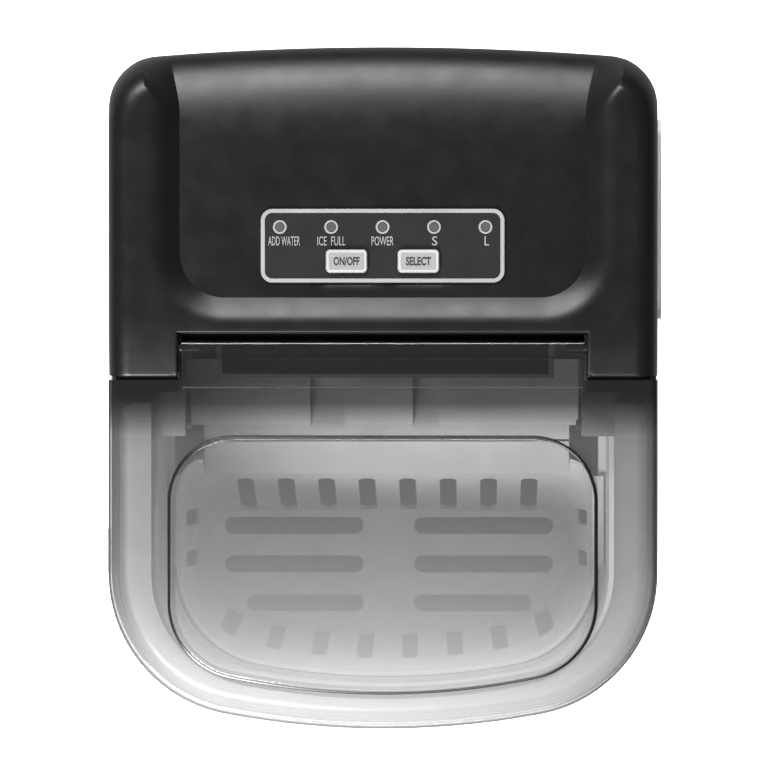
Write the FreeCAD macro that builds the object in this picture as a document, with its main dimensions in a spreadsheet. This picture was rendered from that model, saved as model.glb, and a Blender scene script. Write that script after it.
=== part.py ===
"""Countertop ice maker: a cabinet, a tinted lid over an ice basket, and a small refrigeration plant.

Millimetres. +Z is up, -Y is the front with the lid, +X is the right-hand side. The origin is on the
surface that the feet stand on, under the middle of the cabinet.
"""
import FreeCAD, Part
import math
import os
import Sketcher
from FreeCAD import Rotation, Vector

doc = FreeCAD.newDocument("IceMaker")
sheet = doc.addObject("Spreadsheet::Sheet", "Sizes")

# ---------------------------------------------------------------- driving dimensions

DIMENSIONS = {
    # outline of the cabinet in plan
    "half_width": 121,
    "half_depth": 150.5,
    "front_arc": 374,
    "front_corner": 63,
    "rear_arc": 1300,
    "rear_corner": 22.4,
    # levels above the surface
    "foot_height": 8,
    "plate_top": 10.5,
    "panel_top": 286,
    "frame_top": 296.5,
    "crown_top": 306,
    "lid_bottom": 297,
    "lid_top": 317.5,
    "window_top": 320,
    "floor_level": 316,
    "cover_top": 322,
    # walls
    "sheet_metal": 2.5,
    "wall": 2.5,
    "lid_wall": 2.4,
    "skin_gap": 0.3,
    # ice chamber and tank
    "mouth_half": 102.5,
    "mouth_front": -138,
    "chamber_half": 100.5,
    "chamber_front": -137,
    "tank_half": 97.2,
    "tank_front": -134.6,
    "tank_rear": 5,
    "tank_floor": 64.5,
    "ledge_level": 222,
    "ramp_level": 212,
    "ramp_front": -25.5,
    "bay_wall": 92,
    # basket
    "basket_half": 96,
    "basket_front": -133.6,
    "basket_rear": -34,
    "basket_rim": 226,
    "basket_floor": 149,
    "basket_wall": 1.8,
    # lid hinge
    "hinge_rear": 17.4,
    "hinge_level": 312.5,
    "hinge_pin": 2.5,
    "shoulder": 4.4,
    "notch_half": 90,
    "notch_rear": 23.9,
    "tab_half": 88.5,
    # freezing plant
    "tray_rear": 44,
    "tray_level": 268,
    "tray_inner": 43,
    "tray_half": 76.5,
    "finger_radius": 4.75,
    "finger_pitch": 16,
    "tube_radius": 3.2,
    # console
    "film_rear": 62.3,
    "film_wide": 107.6,
    "film_deep": 32.9,
    "button_wide": 18.4,
    "button_deep": 10.4,
    "button_out": 15.8,
    "button_rear": 55.5,
    "lamp_pitch": 22.6,
    "lamp_rear": 70.5,
    # compressor and fan
    "compressor_x": -38,
    "compressor_y": 84,
    "compressor_radius": 56,
    "fan_y": 84,
    "fan_level": 92,
    "fan_radius": 42,
}

for row, (alias, number) in enumerate(DIMENSIONS.items(), start=1):
    sheet.set(f"A{row}", alias)
    sheet.set(f"B{row}", str(number))
    sheet.setAlias(f"B{row}", alias)


class Dim:
    """A length worked out from the sheet: its value now, and the formula that keeps it bound."""

    def __init__(self, value, formula):
        self.value = float(value)
        self.formula = formula

    def __add__(self, other):
        return join(self, "+", other)

    def __radd__(self, other):
        return join(other, "+", self)

    def __sub__(self, other):
        return join(self, "-", other)

    def __rsub__(self, other):
        return join(other, "-", self)

    def __mul__(self, other):
        return join(self, "*", other)

    def __rmul__(self, other):
        return join(other, "*", self)

    def __truediv__(self, other):
        return join(self, "/", other)

    def __neg__(self):
        return join(0, "-", self)


def dim(size):
    """Any size as a Dim; a plain number has a formula that names no cell."""
    return size if isinstance(size, Dim) else Dim(size, f"({float(size)!r})")


def join(first, sign, second):
    """The Dim for first sign second."""
    first, second = dim(first), dim(second)
    results = {
        "+": first.value + second.value,
        "-": first.value - second.value,
        "*": first.value * second.value,
        "/": first.value / second.value if second.value else 0.0,
    }
    return Dim(results[sign], f"({first.formula} {sign} {second.formula})")


class Sizes:
    """Each cell of the sheet as a Dim, so that size.half_width is bound to the cell half_width."""

    def __getattr__(self, alias):
        return Dim(DIMENSIONS[alias], f"Sizes.{alias}")


size = Sizes()


def bind(thing, path, length):
    """Bind one property or constraint of a document object to a size, if the size names a cell."""
    length = dim(length)
    if "Sizes." in length.formula:
        thing.setExpression(path, length.formula)


# ---------------------------------------------------------------- sketches

AXES = -1
START, END, CENTRE = 1, 2, 3


class Drawing:
    """A sketch on one of a body's own origin planes, with every size fixed from the origin."""

    def __init__(self, body, plane, offset):
        self.sketch = body.newObject("Sketcher::SketchObject", "Sketch")
        origin = [f for f in body.Origin.OriginFeatures if f.Role == plane + "_Plane"][0]
        self.sketch.AttachmentSupport = [(origin, "")]
        self.sketch.MapMode = "FlatFace"
        shift = dim(offset)
        self.sketch.AttachmentOffset = FreeCAD.Placement(Vector(0, 0, shift.value), Rotation())
        bind(self.sketch, "AttachmentOffset.Base.z", shift)
        self.named = 0

    def relate(self, kind, *where):
        return self.sketch.addConstraint(Sketcher.Constraint(kind, *where))

    def fix(self, kind, *where_and_size):
        """Add a constraint with a size and bind it."""
        *where, length = where_and_size
        length = dim(length)
        index = self.relate(kind, *where, length.value)
        self.named += 1
        name = f"size_{self.named}"
        self.sketch.renameConstraint(index, name)
        bind(self.sketch, f"Constraints.{name}", length)

    def pin(self, curve, point, x, y):
        """Fix a point of a curve from the sketch's origin."""
        self.fix("DistanceX", AXES, 1, curve, point, x)
        self.fix("DistanceY", AXES, 1, curve, point, y)

    def line(self, x0, y0, x1, y1):
        ends = [Vector(dim(x0).value, dim(y0).value), Vector(dim(x1).value, dim(y1).value)]
        return self.sketch.addGeometry(Part.LineSegment(*ends))

    def arc(self, x, y, radius, first, last):
        """An arc round (x, y), counterclockwise between two angles in degrees."""
        circle = Part.Circle(Vector(dim(x).value, dim(y).value), Vector(0, 0, 1), dim(radius).value)
        span = Part.ArcOfCircle(circle, math.radians(first), math.radians(last))
        return self.sketch.addGeometry(span)

    def blend(self, curves):
        """Join curves end to start, each tangent to the next, all the way round."""
        for here, there in zip(curves, curves[1:] + curves[:1]):
            self.relate("Tangent", here, END, there, START)

    def circle(self, x, y, radius):
        centre = Vector(dim(x).value, dim(y).value)
        curve = self.sketch.addGeometry(Part.Circle(centre, Vector(0, 0, 1), dim(radius).value))
        self.fix("Radius", curve, radius)
        self.pin(curve, CENTRE, x, y)

    def polygon(self, corners):
        lines = [self.line(*a, *b) for a, b in zip(corners, corners[1:] + corners[:1])]
        for here, there in zip(lines, lines[1:] + lines[:1]):
            self.relate("Coincident", here, END, there, START)
        for curve, (x, y) in zip(lines, corners):
            self.pin(curve, START, x, y)

    def rectangle(self, x0, x1, y0, y1):
        self.polygon([(x0, y0), (x1, y0), (x1, y1), (x0, y1)])

    def rounded(self, x0, x1, y0, y1, radius):
        """A rectangle with rounded corners."""
        left, right, low, high = x0 + radius, x1 - radius, y0 + radius, y1 - radius
        corners = [(left, low, 180), (right, low, 270), (right, high, 0), (left, high, 90)]
        sides = [(left, y0, right, y0), (x1, low, x1, high), (right, y1, left, y1), (x0, high, x0, low)]
        curves = []
        for (x, y, turn), side in zip(corners, sides):
            curves.append(self.arc(x, y, radius, turn, turn + 90))
            curves.append(self.line(*side))
        self.blend(curves)
        for curve, (x, y, _) in zip(curves[::2], corners):
            self.fix("Radius", curve, radius)
            self.pin(curve, CENTRE, x, y)

    def slot(self, ax, ay, bx, by, radius):
        """A slot with round ends, from one end's centre to the other's."""
        ax, ay, bx, by, radius = (dim(value) for value in (ax, ay, bx, by, radius))
        turn = math.degrees(math.atan2(by.value - ay.value, bx.value - ax.value))
        side = Vector(math.sin(math.radians(turn)), -math.cos(math.radians(turn))) * radius.value
        near, far = Vector(ax.value, ay.value), Vector(bx.value, by.value)
        first = self.line(*(near + side)[:2], *(far + side)[:2])
        cap = self.arc(bx, by, radius, turn - 90, turn + 90)
        second = self.line(*(far - side)[:2], *(near - side)[:2])
        foot = self.arc(ax, ay, radius, turn + 90, turn + 270)
        self.blend([first, cap, second, foot])
        self.fix("Radius", cap, radius)
        self.relate("Equal", cap, foot)
        self.pin(cap, CENTRE, bx, by)
        self.pin(foot, CENTRE, ax, ay)

    def bow(self, half, front, rear, front_arc, front_corner, rear_corner, rear_arc=None):
        """A closed outline with straight sides, round corners, a bowed front and a rear edge that is
        bowed too if rear_arc is given."""
        half, front, rear = dim(half), dim(front), dim(rear)
        front_arc, front_corner, rear_corner = dim(front_arc), dim(front_corner), dim(rear_corner)
        corner_x = half.value - front_corner.value
        reach = front_arc.value - front_corner.value
        lean = math.degrees(math.asin(corner_x / reach))
        front_y = front + front_arc
        corner_y = front_y.value - math.sqrt(reach * reach - corner_x * corner_x)
        back_x = half.value - rear_corner.value
        tilt = 0.0
        back_y = rear.value - rear_corner.value
        if rear_arc is not None:
            rear_arc = dim(rear_arc)
            reach = rear_arc.value - rear_corner.value
            tilt = math.degrees(math.asin(back_x / reach))
            rear_y = rear - rear_arc
            back_y = rear_y.value + math.sqrt(reach * reach - back_x * back_x)
        nose = self.arc(0, front_y, front_arc, -90 - lean, -90 + lean)
        right_nose = self.arc(corner_x, corner_y, front_corner, -90 + lean, 0)
        right = self.line(half, corner_y, half, back_y)
        right_back = self.arc(back_x, back_y, rear_corner, 0, 90 - tilt)
        if rear_arc is not None:
            back = self.arc(0, rear_y, rear_arc, 90 - tilt, 90 + tilt)
        else:
            back = self.line(back_x, rear, -back_x, rear)
        left_back = self.arc(-back_x, back_y, rear_corner, 90 + tilt, 180)
        left = self.line(-half, back_y, -half, corner_y)
        left_nose = self.arc(-corner_x, corner_y, front_corner, 180, 270 - lean)
        self.blend([nose, right_nose, right, right_back, back, left_back, left, left_nose])
        self.pin(nose, CENTRE, 0, front_y)
        self.fix("Radius", nose, front_arc)
        for curve, radius in ((right_nose, front_corner), (left_nose, front_corner)):
            self.fix("Radius", curve, radius)
        for curve in (right_back, left_back):
            self.fix("Radius", curve, rear_corner)
        for curve, x in ((right, half), (left, -half)):
            self.relate("Vertical", curve)
            self.fix("DistanceX", AXES, 1, curve, START, x)
        if rear_arc is not None:
            self.pin(back, CENTRE, 0, rear_y)
            self.fix("Radius", back, rear_arc)
        else:
            self.relate("Horizontal", back)
            self.fix("DistanceY", AXES, 1, back, START, rear)


# ---------------------------------------------------------------- pieces

PIECES = []
NORMAL = {"XY": Vector(0, 0, 1), "XZ": Vector(0, -1, 0), "YZ": Vector(1, 0, 0)}


class Moulding:
    """A PartDesign body, made by pads and pockets."""

    def __init__(self, label):
        self.body = doc.addObject("PartDesign::Body", label)
        self.body.Label = label
        PIECES.append(self.body)

    def draw(self, plane, at):
        """A sketch in the plane, at a height z, a distance y or a distance x."""
        return Drawing(self.body, plane, -at if plane == "XZ" else at)

    def pad(self, drawing, length, down=False):
        feature = self.body.newObject("PartDesign::Pad", "Pad")
        feature.Profile = drawing.sketch
        feature.Length = dim(length).value
        bind(feature, "Length", length)
        feature.Reversed = down
        drawing.sketch.Visibility = False
        return feature

    def pocket(self, drawing, length, ahead=False):
        """Cut against the plane's normal, or along it if ahead is true."""
        feature = self.body.newObject("PartDesign::Pocket", "Pocket")
        feature.Profile = drawing.sketch
        feature.Length = dim(length).value
        bind(feature, "Length", length)
        feature.Reversed = ahead
        return feature

    def loft(self, low, high, cut=False):
        kind = "PartDesign::SubtractiveLoft" if cut else "PartDesign::AdditiveLoft"
        feature = self.body.newObject(kind, "Loft")
        feature.Profile = low.sketch
        feature.Sections = [high.sketch]
        feature.Ruled = True
        return feature

    def round(self, wanted, radius):
        """Fillet every edge of the body so far for which wanted(edge) is true."""
        doc.recompute()
        base = self.body.Tip
        names = [f"Edge{n}" for n, edge in enumerate(base.Shape.Edges, start=1) if wanted(edge)]
        feature = self.body.newObject("PartDesign::Fillet", "Fillet")
        feature.Base = (base, names)
        feature.Radius = dim(radius).value
        bind(feature, "Radius", radius)
        return feature


def outline(drawing, inset):
    """The cabinet's outline in plan, moved inwards by inset."""
    drawing.bow(
        size.half_width - inset,
        -size.half_depth + inset,
        size.half_depth - inset,
        size.front_arc - inset,
        size.front_corner - inset,
        size.rear_corner - inset,
        size.rear_arc - inset,
    )
    return drawing


def level(edge, height, spread=0.01):
    """Whether an edge lies flat at a height."""
    box = edge.BoundBox
    return abs(box.ZMin - dim(height).value) < spread and abs(box.ZMax - dim(height).value) < spread


def place(thing, x, y, z, turn=None):
    """Put an object at a point, and bind the point."""
    spots = [dim(value) for value in (x, y, z)]
    thing.Placement = FreeCAD.Placement(Vector(*(s.value for s in spots)), turn or Rotation())
    for axis, spot in zip("xyz", spots):
        bind(thing, f"Placement.Base.{axis}", spot)
    return thing


def block(x0, x1, y0, y1, z0, z1):
    """A Part::Box between two corners."""
    thing = doc.addObject("Part::Box", "Block")
    for name, low, high in (("Length", x0, x1), ("Width", y0, y1), ("Height", z0, z1)):
        span = dim(high) - low
        setattr(thing, name, span.value)
        bind(thing, name, span)
    return place(thing, x0, y0, z0)


TURNS = {
    "X": Rotation(Vector(0, 1, 0), 90),
    "Y": Rotation(Vector(1, 0, 0), -90),
    "Z": Rotation(),
}


def rod(axis, x, y, z, radius, length):
    """A Part::Cylinder that starts at a point and runs along a positive axis."""
    thing = doc.addObject("Part::Cylinder", "Rod")
    thing.Radius = dim(radius).value
    thing.Height = dim(length).value
    bind(thing, "Radius", radius)
    bind(thing, "Height", length)
    return place(thing, x, y, z, TURNS[axis])


def cut(base, *tools):
    """A Part::Cut of one object by the others."""
    tool = tools[0] if len(tools) == 1 else fuse(*tools)
    thing = doc.addObject("Part::Cut", "Cut")
    thing.Base = base
    thing.Tool = tool
    return thing


def fuse(*parts):
    thing = doc.addObject("Part::MultiFuse", "Fuse")
    thing.Shapes = list(parts)
    return thing


def group(*parts):
    """Separate solids that share one node."""
    thing = doc.addObject("Part::Compound", "Group")
    thing.Links = list(parts)
    return thing


def ring(axis, x, y, z, outer, inner, length):
    """A tube: a rod with a bore right through it."""
    return cut(rod(axis, x, y, z, outer, length), rod(axis, x, y, z, inner, length))


def keep(label, thing):
    """Name a finished piece."""
    thing.Label = label
    PIECES.append(thing)
    return thing


def bent_pipe(points, radius, bend):
    """A solid round pipe along straight runs joined by tangent arcs."""
    corners = [Vector(*(dim(value).value for value in point)) for point in points]
    edges = []
    start = corners[0]
    for before, corner, after in zip(corners, corners[1:], corners[2:]):
        into = (corner - before).normalize()
        out = (after - corner).normalize()
        turn = into.getAngle(out)
        setback = bend * math.tan(turn / 2)
        first, last = corner - into * setback, corner + out * setback
        middle = corner + (out - into).normalize() * bend * (1 / math.cos(turn / 2) - 1)
        edges.append(Part.LineSegment(start, first).toShape())
        edges.append(Part.Arc(first, middle, last).toShape())
        start = last
    edges.append(Part.LineSegment(start, corners[-1]).toShape())
    path = Part.Wire(edges)
    lead = (corners[1] - corners[0]).normalize()
    profile = Part.Wire([Part.Circle(corners[0], lead, dim(radius).value).toShape()])
    shape = path.makePipeShell([profile], True, True)
    expected = math.pi * dim(radius).value ** 2 * path.Length
    if abs(shape.Volume - expected) > 0.02 * expected:
        raise RuntimeError(f"a pipe came out with {shape.Volume:.0f} instead of {expected:.0f}")
    thing = doc.addObject("Part::Feature", "Pipe")
    thing.Shape = shape
    thing.Placement = FreeCAD.Placement()
    return thing


# ---------------------------------------------------------------- casing

FAR = 400
FRONT_SEAM = -20
BACK_SEAM = 126


def base_plate():
    """Steel floor of the cabinet, with air slots under the compressor bay."""
    piece = Moulding("base_plate")
    piece.pad(outline(piece.draw("XY", size.foot_height), 0.8), size.plate_top - size.foot_height)
    slots = piece.draw("XY", size.plate_top)
    for n in range(6):
        slots.slot(30 + 12 * n, 60, 30 + 12 * n, 110, 1.8)
    piece.pocket(slots, 10)
    for x, y in FEET:
        hole = piece.draw("XY", size.plate_top)
        hole.circle(x, y, 2.6)
        piece.pocket(hole, 10)


FEET = [(-88, -95), (88, -95), (-98, 118), (98, 118)]


def feet():
    """Four rubber feet, each with a screw boss up through the base plate."""
    pads = []
    for x, y in FEET:
        disc = rod("Z", x, y, 0, 11, size.foot_height)
        boss = rod("Z", x, y, size.foot_height - 1, 2.5, 6)
        pads.append(fuse(disc, boss))
    keep("feet", group(*pads))


def shell_band(piece, keep_front, keep_rear):
    """The cabinet's wall from the base plate to the frame, kept only between two distances y."""
    height = size.panel_top - size.plate_top
    piece.pad(outline(piece.draw("XY", size.plate_top), 0), height)
    piece.pocket(outline(piece.draw("XY", size.panel_top), size.sheet_metal), height + 1)
    for edge, far in ((keep_front, -FAR), (keep_rear, FAR)):
        if edge is None:
            continue
        rest = piece.draw("XY", size.panel_top)
        rest.rectangle(-FAR, FAR, min(edge, far), max(edge, far))
        piece.pocket(rest, height + 1)


def front_panel():
    """Bowed steel wall round the front of the cabinet, with a hole on the left for the drain spout."""
    piece = Moulding("front_panel")
    shell_band(piece, None, FRONT_SEAM)
    hole = piece.draw("YZ", -FAR / 2)
    hole.circle(DRAIN_Y, DRAIN_LEVEL, 9.1)
    piece.pocket(hole, FAR / 4, ahead=True)


def rear_panel():
    """Steel back wall with louvre slots and a hole for the cord gland."""
    piece = Moulding("rear_panel")
    shell_band(piece, BACK_SEAM, None)
    for row in range(9):
        slots = piece.draw("XZ", 155)
        z = 60 + 12 * row
        for side in (-1, 1):
            slots.slot(side * 12, z, side * 60, z, 1.5)
        piece.pocket(slots, 30, ahead=True)
    hole = piece.draw("XZ", 155)
    hole.circle(GLAND_X, GLAND_Z, 8)
    piece.pocket(hole, 30, ahead=True)


GLAND_X, GLAND_Z = -86, 34
GRILLE = (30, 120, 30, 262)
VENT_MARGIN = 8
VENT_START = 110


def side_panels():
    """Flat steel walls; the left one has air inlet slots, the right one is open behind the grille."""
    for label, side in (("left_side_panel", -1), ("right_side_panel", 1)):
        piece = Moulding(label)
        inner, outer = side * (size.half_width - size.sheet_metal), side * size.half_width
        plate = piece.draw("XY", size.plate_top)
        low, high = (outer, inner) if side < 0 else (inner, outer)
        plate.rectangle(low, high, FRONT_SEAM, BACK_SEAM)
        piece.pad(plate, size.panel_top - size.plate_top)
        if side > 0:
            vent = piece.draw("YZ", size.half_width + 1)
            y0, y1, z0, z1 = GRILLE
            vent.rectangle(y0 + VENT_MARGIN, y1 - VENT_MARGIN, z0 + VENT_MARGIN, z1 - VENT_MARGIN)
            piece.pocket(vent, 10)
        else:
            vent = piece.draw("YZ", -VENT_START)
            for n in range(10):
                vent.slot(40 + 8 * n, 40, 40 + 8 * n, 120, 1.4)
            piece.pocket(vent, 20)


GRILLE_PROUD = 3.5


def side_vent_grille():
    """Raised louvred grille over the fan's outlet."""
    piece = Moulding("side_vent_grille")
    y0, y1, z0, z1 = GRILLE
    face = piece.draw("YZ", size.half_width)
    face.rounded(y0, y1, z0, z1, 8)
    piece.pad(face, GRILLE_PROUD)
    hollow = piece.draw("YZ", size.half_width + 1.6)
    hollow.rounded(y0 + 3, y1 - 3, z0 + 3, z1 - 3, 5)
    piece.pocket(hollow, 5)
    for n in range(20):
        slots = piece.draw("YZ", size.half_width + GRILLE_PROUD)
        z = z0 + 13 + 10.8 * n
        slots.slot(y0 + 11, z, y1 - 11, z, 1.5)
        piece.pocket(slots, 3)


CHEEK_INNER = 88
CHEEK_FRONT = -22
CHEEK_TOP = 6.5
WEB_LOW = 254
LIP = (-83, -63)
CROWN_ROUND = 5.5
CROWN_REAR = -7


def outside_crown(edge):
    """Whether an edge belongs to the outer loop of the crown's top."""
    box = edge.BoundBox
    beside = abs(edge.CenterOfMass.x) > size.mouth_half.value + 0.1
    beyond = box.YMax > size.bay_wall.value + 8 or box.YMin < size.mouth_front.value - 2
    return level(edge, size.crown_top) and (beside or beyond)


def top_frame():
    """Moulded frame on top of the cabinet: a crowned rim round the ice chamber, a cheek each side that
    carries the water tray, and a deck behind for the power board."""
    piece = Moulding("top_frame")
    band = size.frame_top - size.panel_top
    piece.pad(outline(piece.draw("XY", size.panel_top), 0), band)
    crown = outline(piece.draw("XY", size.frame_top), 4)
    piece.pad(crown, size.crown_top - size.frame_top)
    mouth = piece.draw("XY", size.crown_top)
    mouth.bow(size.mouth_half, size.mouth_front, size.bay_wall + 2.5, 320, 50, 4)
    piece.pocket(mouth, 40)
    piece.round(outside_crown, CROWN_ROUND)
    behind = piece.draw("XY", size.crown_top)
    behind.rectangle(-FAR, FAR, CROWN_REAR, FAR)
    piece.pocket(behind, size.crown_top - size.frame_top)
    bay = piece.draw("XY", size.frame_top)
    bay.rounded(-112, 112, size.bay_wall + 6, 143, 12)
    piece.pocket(bay, band - 2.5)
    passage = piece.draw("XY", size.frame_top)
    passage.rounded(64, 100, 104, 134, 6)
    piece.pocket(passage, band + 1)
    for side in (-1, 1):
        near, far = side * CHEEK_INNER, side * (size.mouth_half + 1)
        top = piece.draw("XY", size.frame_top - CHEEK_TOP)
        low, high = (far, near) if side < 0 else (near, far)
        top.rectangle(low, high, CHEEK_FRONT, size.bay_wall + 2)
        piece.pad(top, CHEEK_TOP)
        web = piece.draw("XY", WEB_LOW)
        near, far = side * 95.5, side * (size.chamber_half - 0.2)
        low, high = (far, near) if side < 0 else (near, far)
        web.rectangle(low, high, CHEEK_FRONT, size.bay_wall - 4)
        piece.pad(web, size.frame_top - CHEEK_TOP - WEB_LOW)
    bore = piece.draw("YZ", -110)
    bore.circle(size.tray_rear, size.tray_level, 4.05)
    piece.pocket(bore, 220, ahead=True)
    lip = piece.draw("XY", size.panel_top + 0.5)
    lip.rounded(-size.half_width - GRILLE_PROUD, -size.half_width + 6, LIP[0], LIP[1], 3)
    piece.pad(lip, band - 1)


def liner():
    """One moulding: the ice chamber's walls, the ramp below the tray, and the water tank."""
    piece = Moulding("liner")
    wall = size.wall
    chamber = piece.draw("XY", size.ramp_level - wall)
    chamber.bow(
        size.chamber_half + wall, size.chamber_front - wall, size.bay_wall + wall, 322, 51, 5
    )
    piece.pad(chamber, size.panel_top - size.ramp_level + wall)
    rim = piece.draw("XY", size.panel_top - wall)
    rim.bow(size.chamber_half + 14, size.chamber_front - 8, size.bay_wall + 12, 334, 60, 16)
    piece.pad(rim, wall)
    tank = piece.draw("XY", size.tank_floor - wall)
    tank.bow(size.tank_half + wall, size.tank_front - wall, size.tank_rear + wall, 318, 47, 7)
    piece.pad(tank, size.ledge_level - size.tank_floor + wall)
    upper = piece.draw("XY", size.panel_top)
    upper.bow(size.chamber_half, size.chamber_front, size.bay_wall, 320, 49, 3)
    piece.pocket(upper, size.panel_top - size.ledge_level)
    lower = piece.draw("XY", size.ledge_level)
    lower.bow(size.tank_half, size.tank_front, size.tank_rear, 316, 45, 5)
    piece.pocket(lower, size.ledge_level - size.tank_floor)
    aft = piece.draw("XY", size.ledge_level)
    aft.rectangle(-size.tank_half, size.tank_half, -10, size.bay_wall)
    piece.pocket(aft, size.ledge_level - size.ramp_level)
    ramp = piece.draw("XY", size.ramp_level - wall)
    ramp.polygon([
        (-84, size.ramp_front), (84, size.ramp_front), (84, -6), (size.tank_half + 1, -6),
        (size.tank_half + 1, size.tank_rear + 1), (-size.tank_half - 1, size.tank_rear + 1),
        (-size.tank_half - 1, -6), (-84, -6),
    ])
    piece.pad(ramp, wall)
    holes = piece.draw("YZ", -FAR / 2)
    holes.circle(size.tray_rear, size.tray_level, 5)
    piece.pocket(holes, FAR, ahead=True)
    passes = piece.draw("XZ", size.bay_wall - 5)
    for side in (-1, 1):
        passes.circle(side * TUBE_OUT, TUBE_LEVEL, 4.2)
    passes.circle(NOZZLE_X, NOZZLE_LEVEL, 5.2)
    piece.pocket(passes, 12)
    drain = piece.draw("YZ", -FAR / 4 - 20)
    drain.circle(DRAIN_Y, DRAIN_LEVEL, 7)
    piece.pocket(drain, 40, ahead=True)


TUBE_OUT = 85
TUBE_END = 112
TUBE_LEVEL = 279.5
FINGER_LOW = 231
NOZZLE_X, NOZZLE_LEVEL = -44, 262
DRAIN_Y, DRAIN_LEVEL = -73, 74


# ---------------------------------------------------------------- top cover and console

SHOULDER_SLOPE = 32
SHOULDER_DROP = 4
SCREW_X, SCREW_Y = 111.3, -1.5
KEY_GAP = 0.35


def console_windows(drawing):
    """Openings for the five lamps and the two keys."""
    for n in range(-2, 3):
        drawing.circle(n * size.lamp_pitch, size.lamp_rear, 2.1)
    half, deep = size.button_wide / 2 + KEY_GAP, size.button_deep / 2 + KEY_GAP
    for side in (-1, 1):
        x = side * size.button_out
        drawing.rounded(x - half, x + half, size.button_rear - deep, size.button_rear + deep, 2 + KEY_GAP)
    return drawing


def top_cover():
    """Black moulded cover: two shoulders beside the lid's tab, a dished console, and a hollow inside."""
    piece = Moulding("top_cover")
    height = size.cover_top - size.frame_top
    piece.pad(outline(piece.draw("XY", size.frame_top), 0), height)
    front = piece.draw("XY", size.cover_top)
    front.rectangle(-FAR, FAR, -FAR, size.shoulder)
    piece.pocket(front, height + 1)
    slope = piece.draw("YZ", -FAR / 2)
    low_y, high_y = size.shoulder - 1, size.shoulder + SHOULDER_SLOPE
    slope.polygon([
        (low_y, size.cover_top - SHOULDER_DROP - 0.1), (high_y, size.cover_top),
        (high_y, size.cover_top + 5), (low_y, size.cover_top + 5),
    ])
    piece.pocket(slope, FAR, ahead=True)
    piece.round(lambda edge: level(edge, size.cover_top) and edge.BoundBox.YMax > 60, 11)
    notch = piece.draw("XY", size.cover_top)
    notch.rectangle(-size.notch_half, size.notch_half, -FAR, size.notch_rear)
    piece.pocket(notch, height + 1)
    low = piece.draw("XY", size.floor_level)
    low.rounded(-89.4, 89.4, 39.5, 240, 20)
    high = piece.draw("XY", size.cover_top + 0.05)
    high.rounded(-101.4, 101.4, 27.5, 252, 32)
    piece.loft(low, high, cut=True)
    hollow = outline(piece.draw("XY", size.frame_top), 2.5)
    piece.pocket(hollow, 8.5, ahead=True)
    roof = outline(piece.draw("XY", size.frame_top), 8)
    piece.pocket(roof, size.floor_level - 2.5 - size.frame_top, ahead=True)
    for side in (-1, 1):
        ridge = piece.draw("XY", size.floor_level - 4)
        low_x, high_x = (-114.5, -104.5) if side < 0 else (104.5, 114.5)
        ridge.rectangle(low_x, high_x, size.shoulder + SHOULDER_SLOPE, 122)
        piece.pocket(ridge, 6, ahead=True)
    for side in (-1, 1):
        flank = piece.draw("XY", size.frame_top)
        near, far = side * size.notch_half, side * (size.half_width - 3.5)
        low_x, high_x = (far, near) if side < 0 else (near, far)
        flank.rectangle(low_x, high_x, -2, size.shoulder + 2.5)
        piece.pad(flank, 17.5)
        cheek = piece.draw("XY", size.frame_top)
        near, far = side * size.notch_half, side * (size.notch_half + 6)
        low_x, high_x = (far, near) if side < 0 else (near, far)
        cheek.rectangle(low_x, high_x, size.shoulder, size.notch_rear + 2.5)
        piece.pad(cheek, 20.5)
        lug = piece.draw("XY", 306.5)
        lug.circle(side * SCREW_X, SCREW_Y, 5)
        piece.pad(lug, 2.5)
        hole = piece.draw("XY", 320)
        hole.circle(side * SCREW_X, SCREW_Y, 1.6)
        piece.pocket(hole, 30)
        sink = piece.draw("XY", 320)
        sink.circle(side * SCREW_X, SCREW_Y, 3.6)
        piece.pocket(sink, 11)
    wall = piece.draw("XY", size.frame_top)
    wall.rectangle(-size.notch_half - 1, size.notch_half + 1, size.notch_rear, size.notch_rear + 2.5)
    piece.pad(wall, 20.5)
    pins = piece.draw("YZ", -100)
    pins.circle(size.hinge_rear, size.hinge_level, size.hinge_pin + 0.05)
    piece.pocket(pins, 200, ahead=True)
    piece.pocket(console_windows(piece.draw("XY", size.floor_level)), 5)


def cover_screws():
    """Two countersunk screws that hold the cover's front to the frame."""
    screws = []
    for side in (-1, 1):
        shank = rod("Z", side * SCREW_X, SCREW_Y, size.frame_top + 0.5, 1.55, 13)
        head = rod("Z", side * SCREW_X, SCREW_Y, 309.1, 3.3, 1.9)
        recess = block(side * SCREW_X - 2, side * SCREW_X + 2, SCREW_Y - 0.4, SCREW_Y + 0.4, 310.3, 312)
        screws.append(cut(fuse(shank, head), recess))
    keep("cover_screws", group(*screws))


FILM = 0.8


def control_film():
    """Printed overlay on the console floor, open for the lamps and the buttons."""
    piece = Moulding("control_film")
    half, deep = size.film_wide / 2, size.film_deep / 2
    face = piece.draw("XY", size.floor_level)
    face.rounded(-half, half, size.film_rear - deep, size.film_rear + deep, 5.3)
    piece.pad(face, FILM)
    piece.pocket(console_windows(piece.draw("XY", size.floor_level + FILM)), FILM)


BOARD_LEVEL = 306
LAMP_TOP = 0.4


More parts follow.
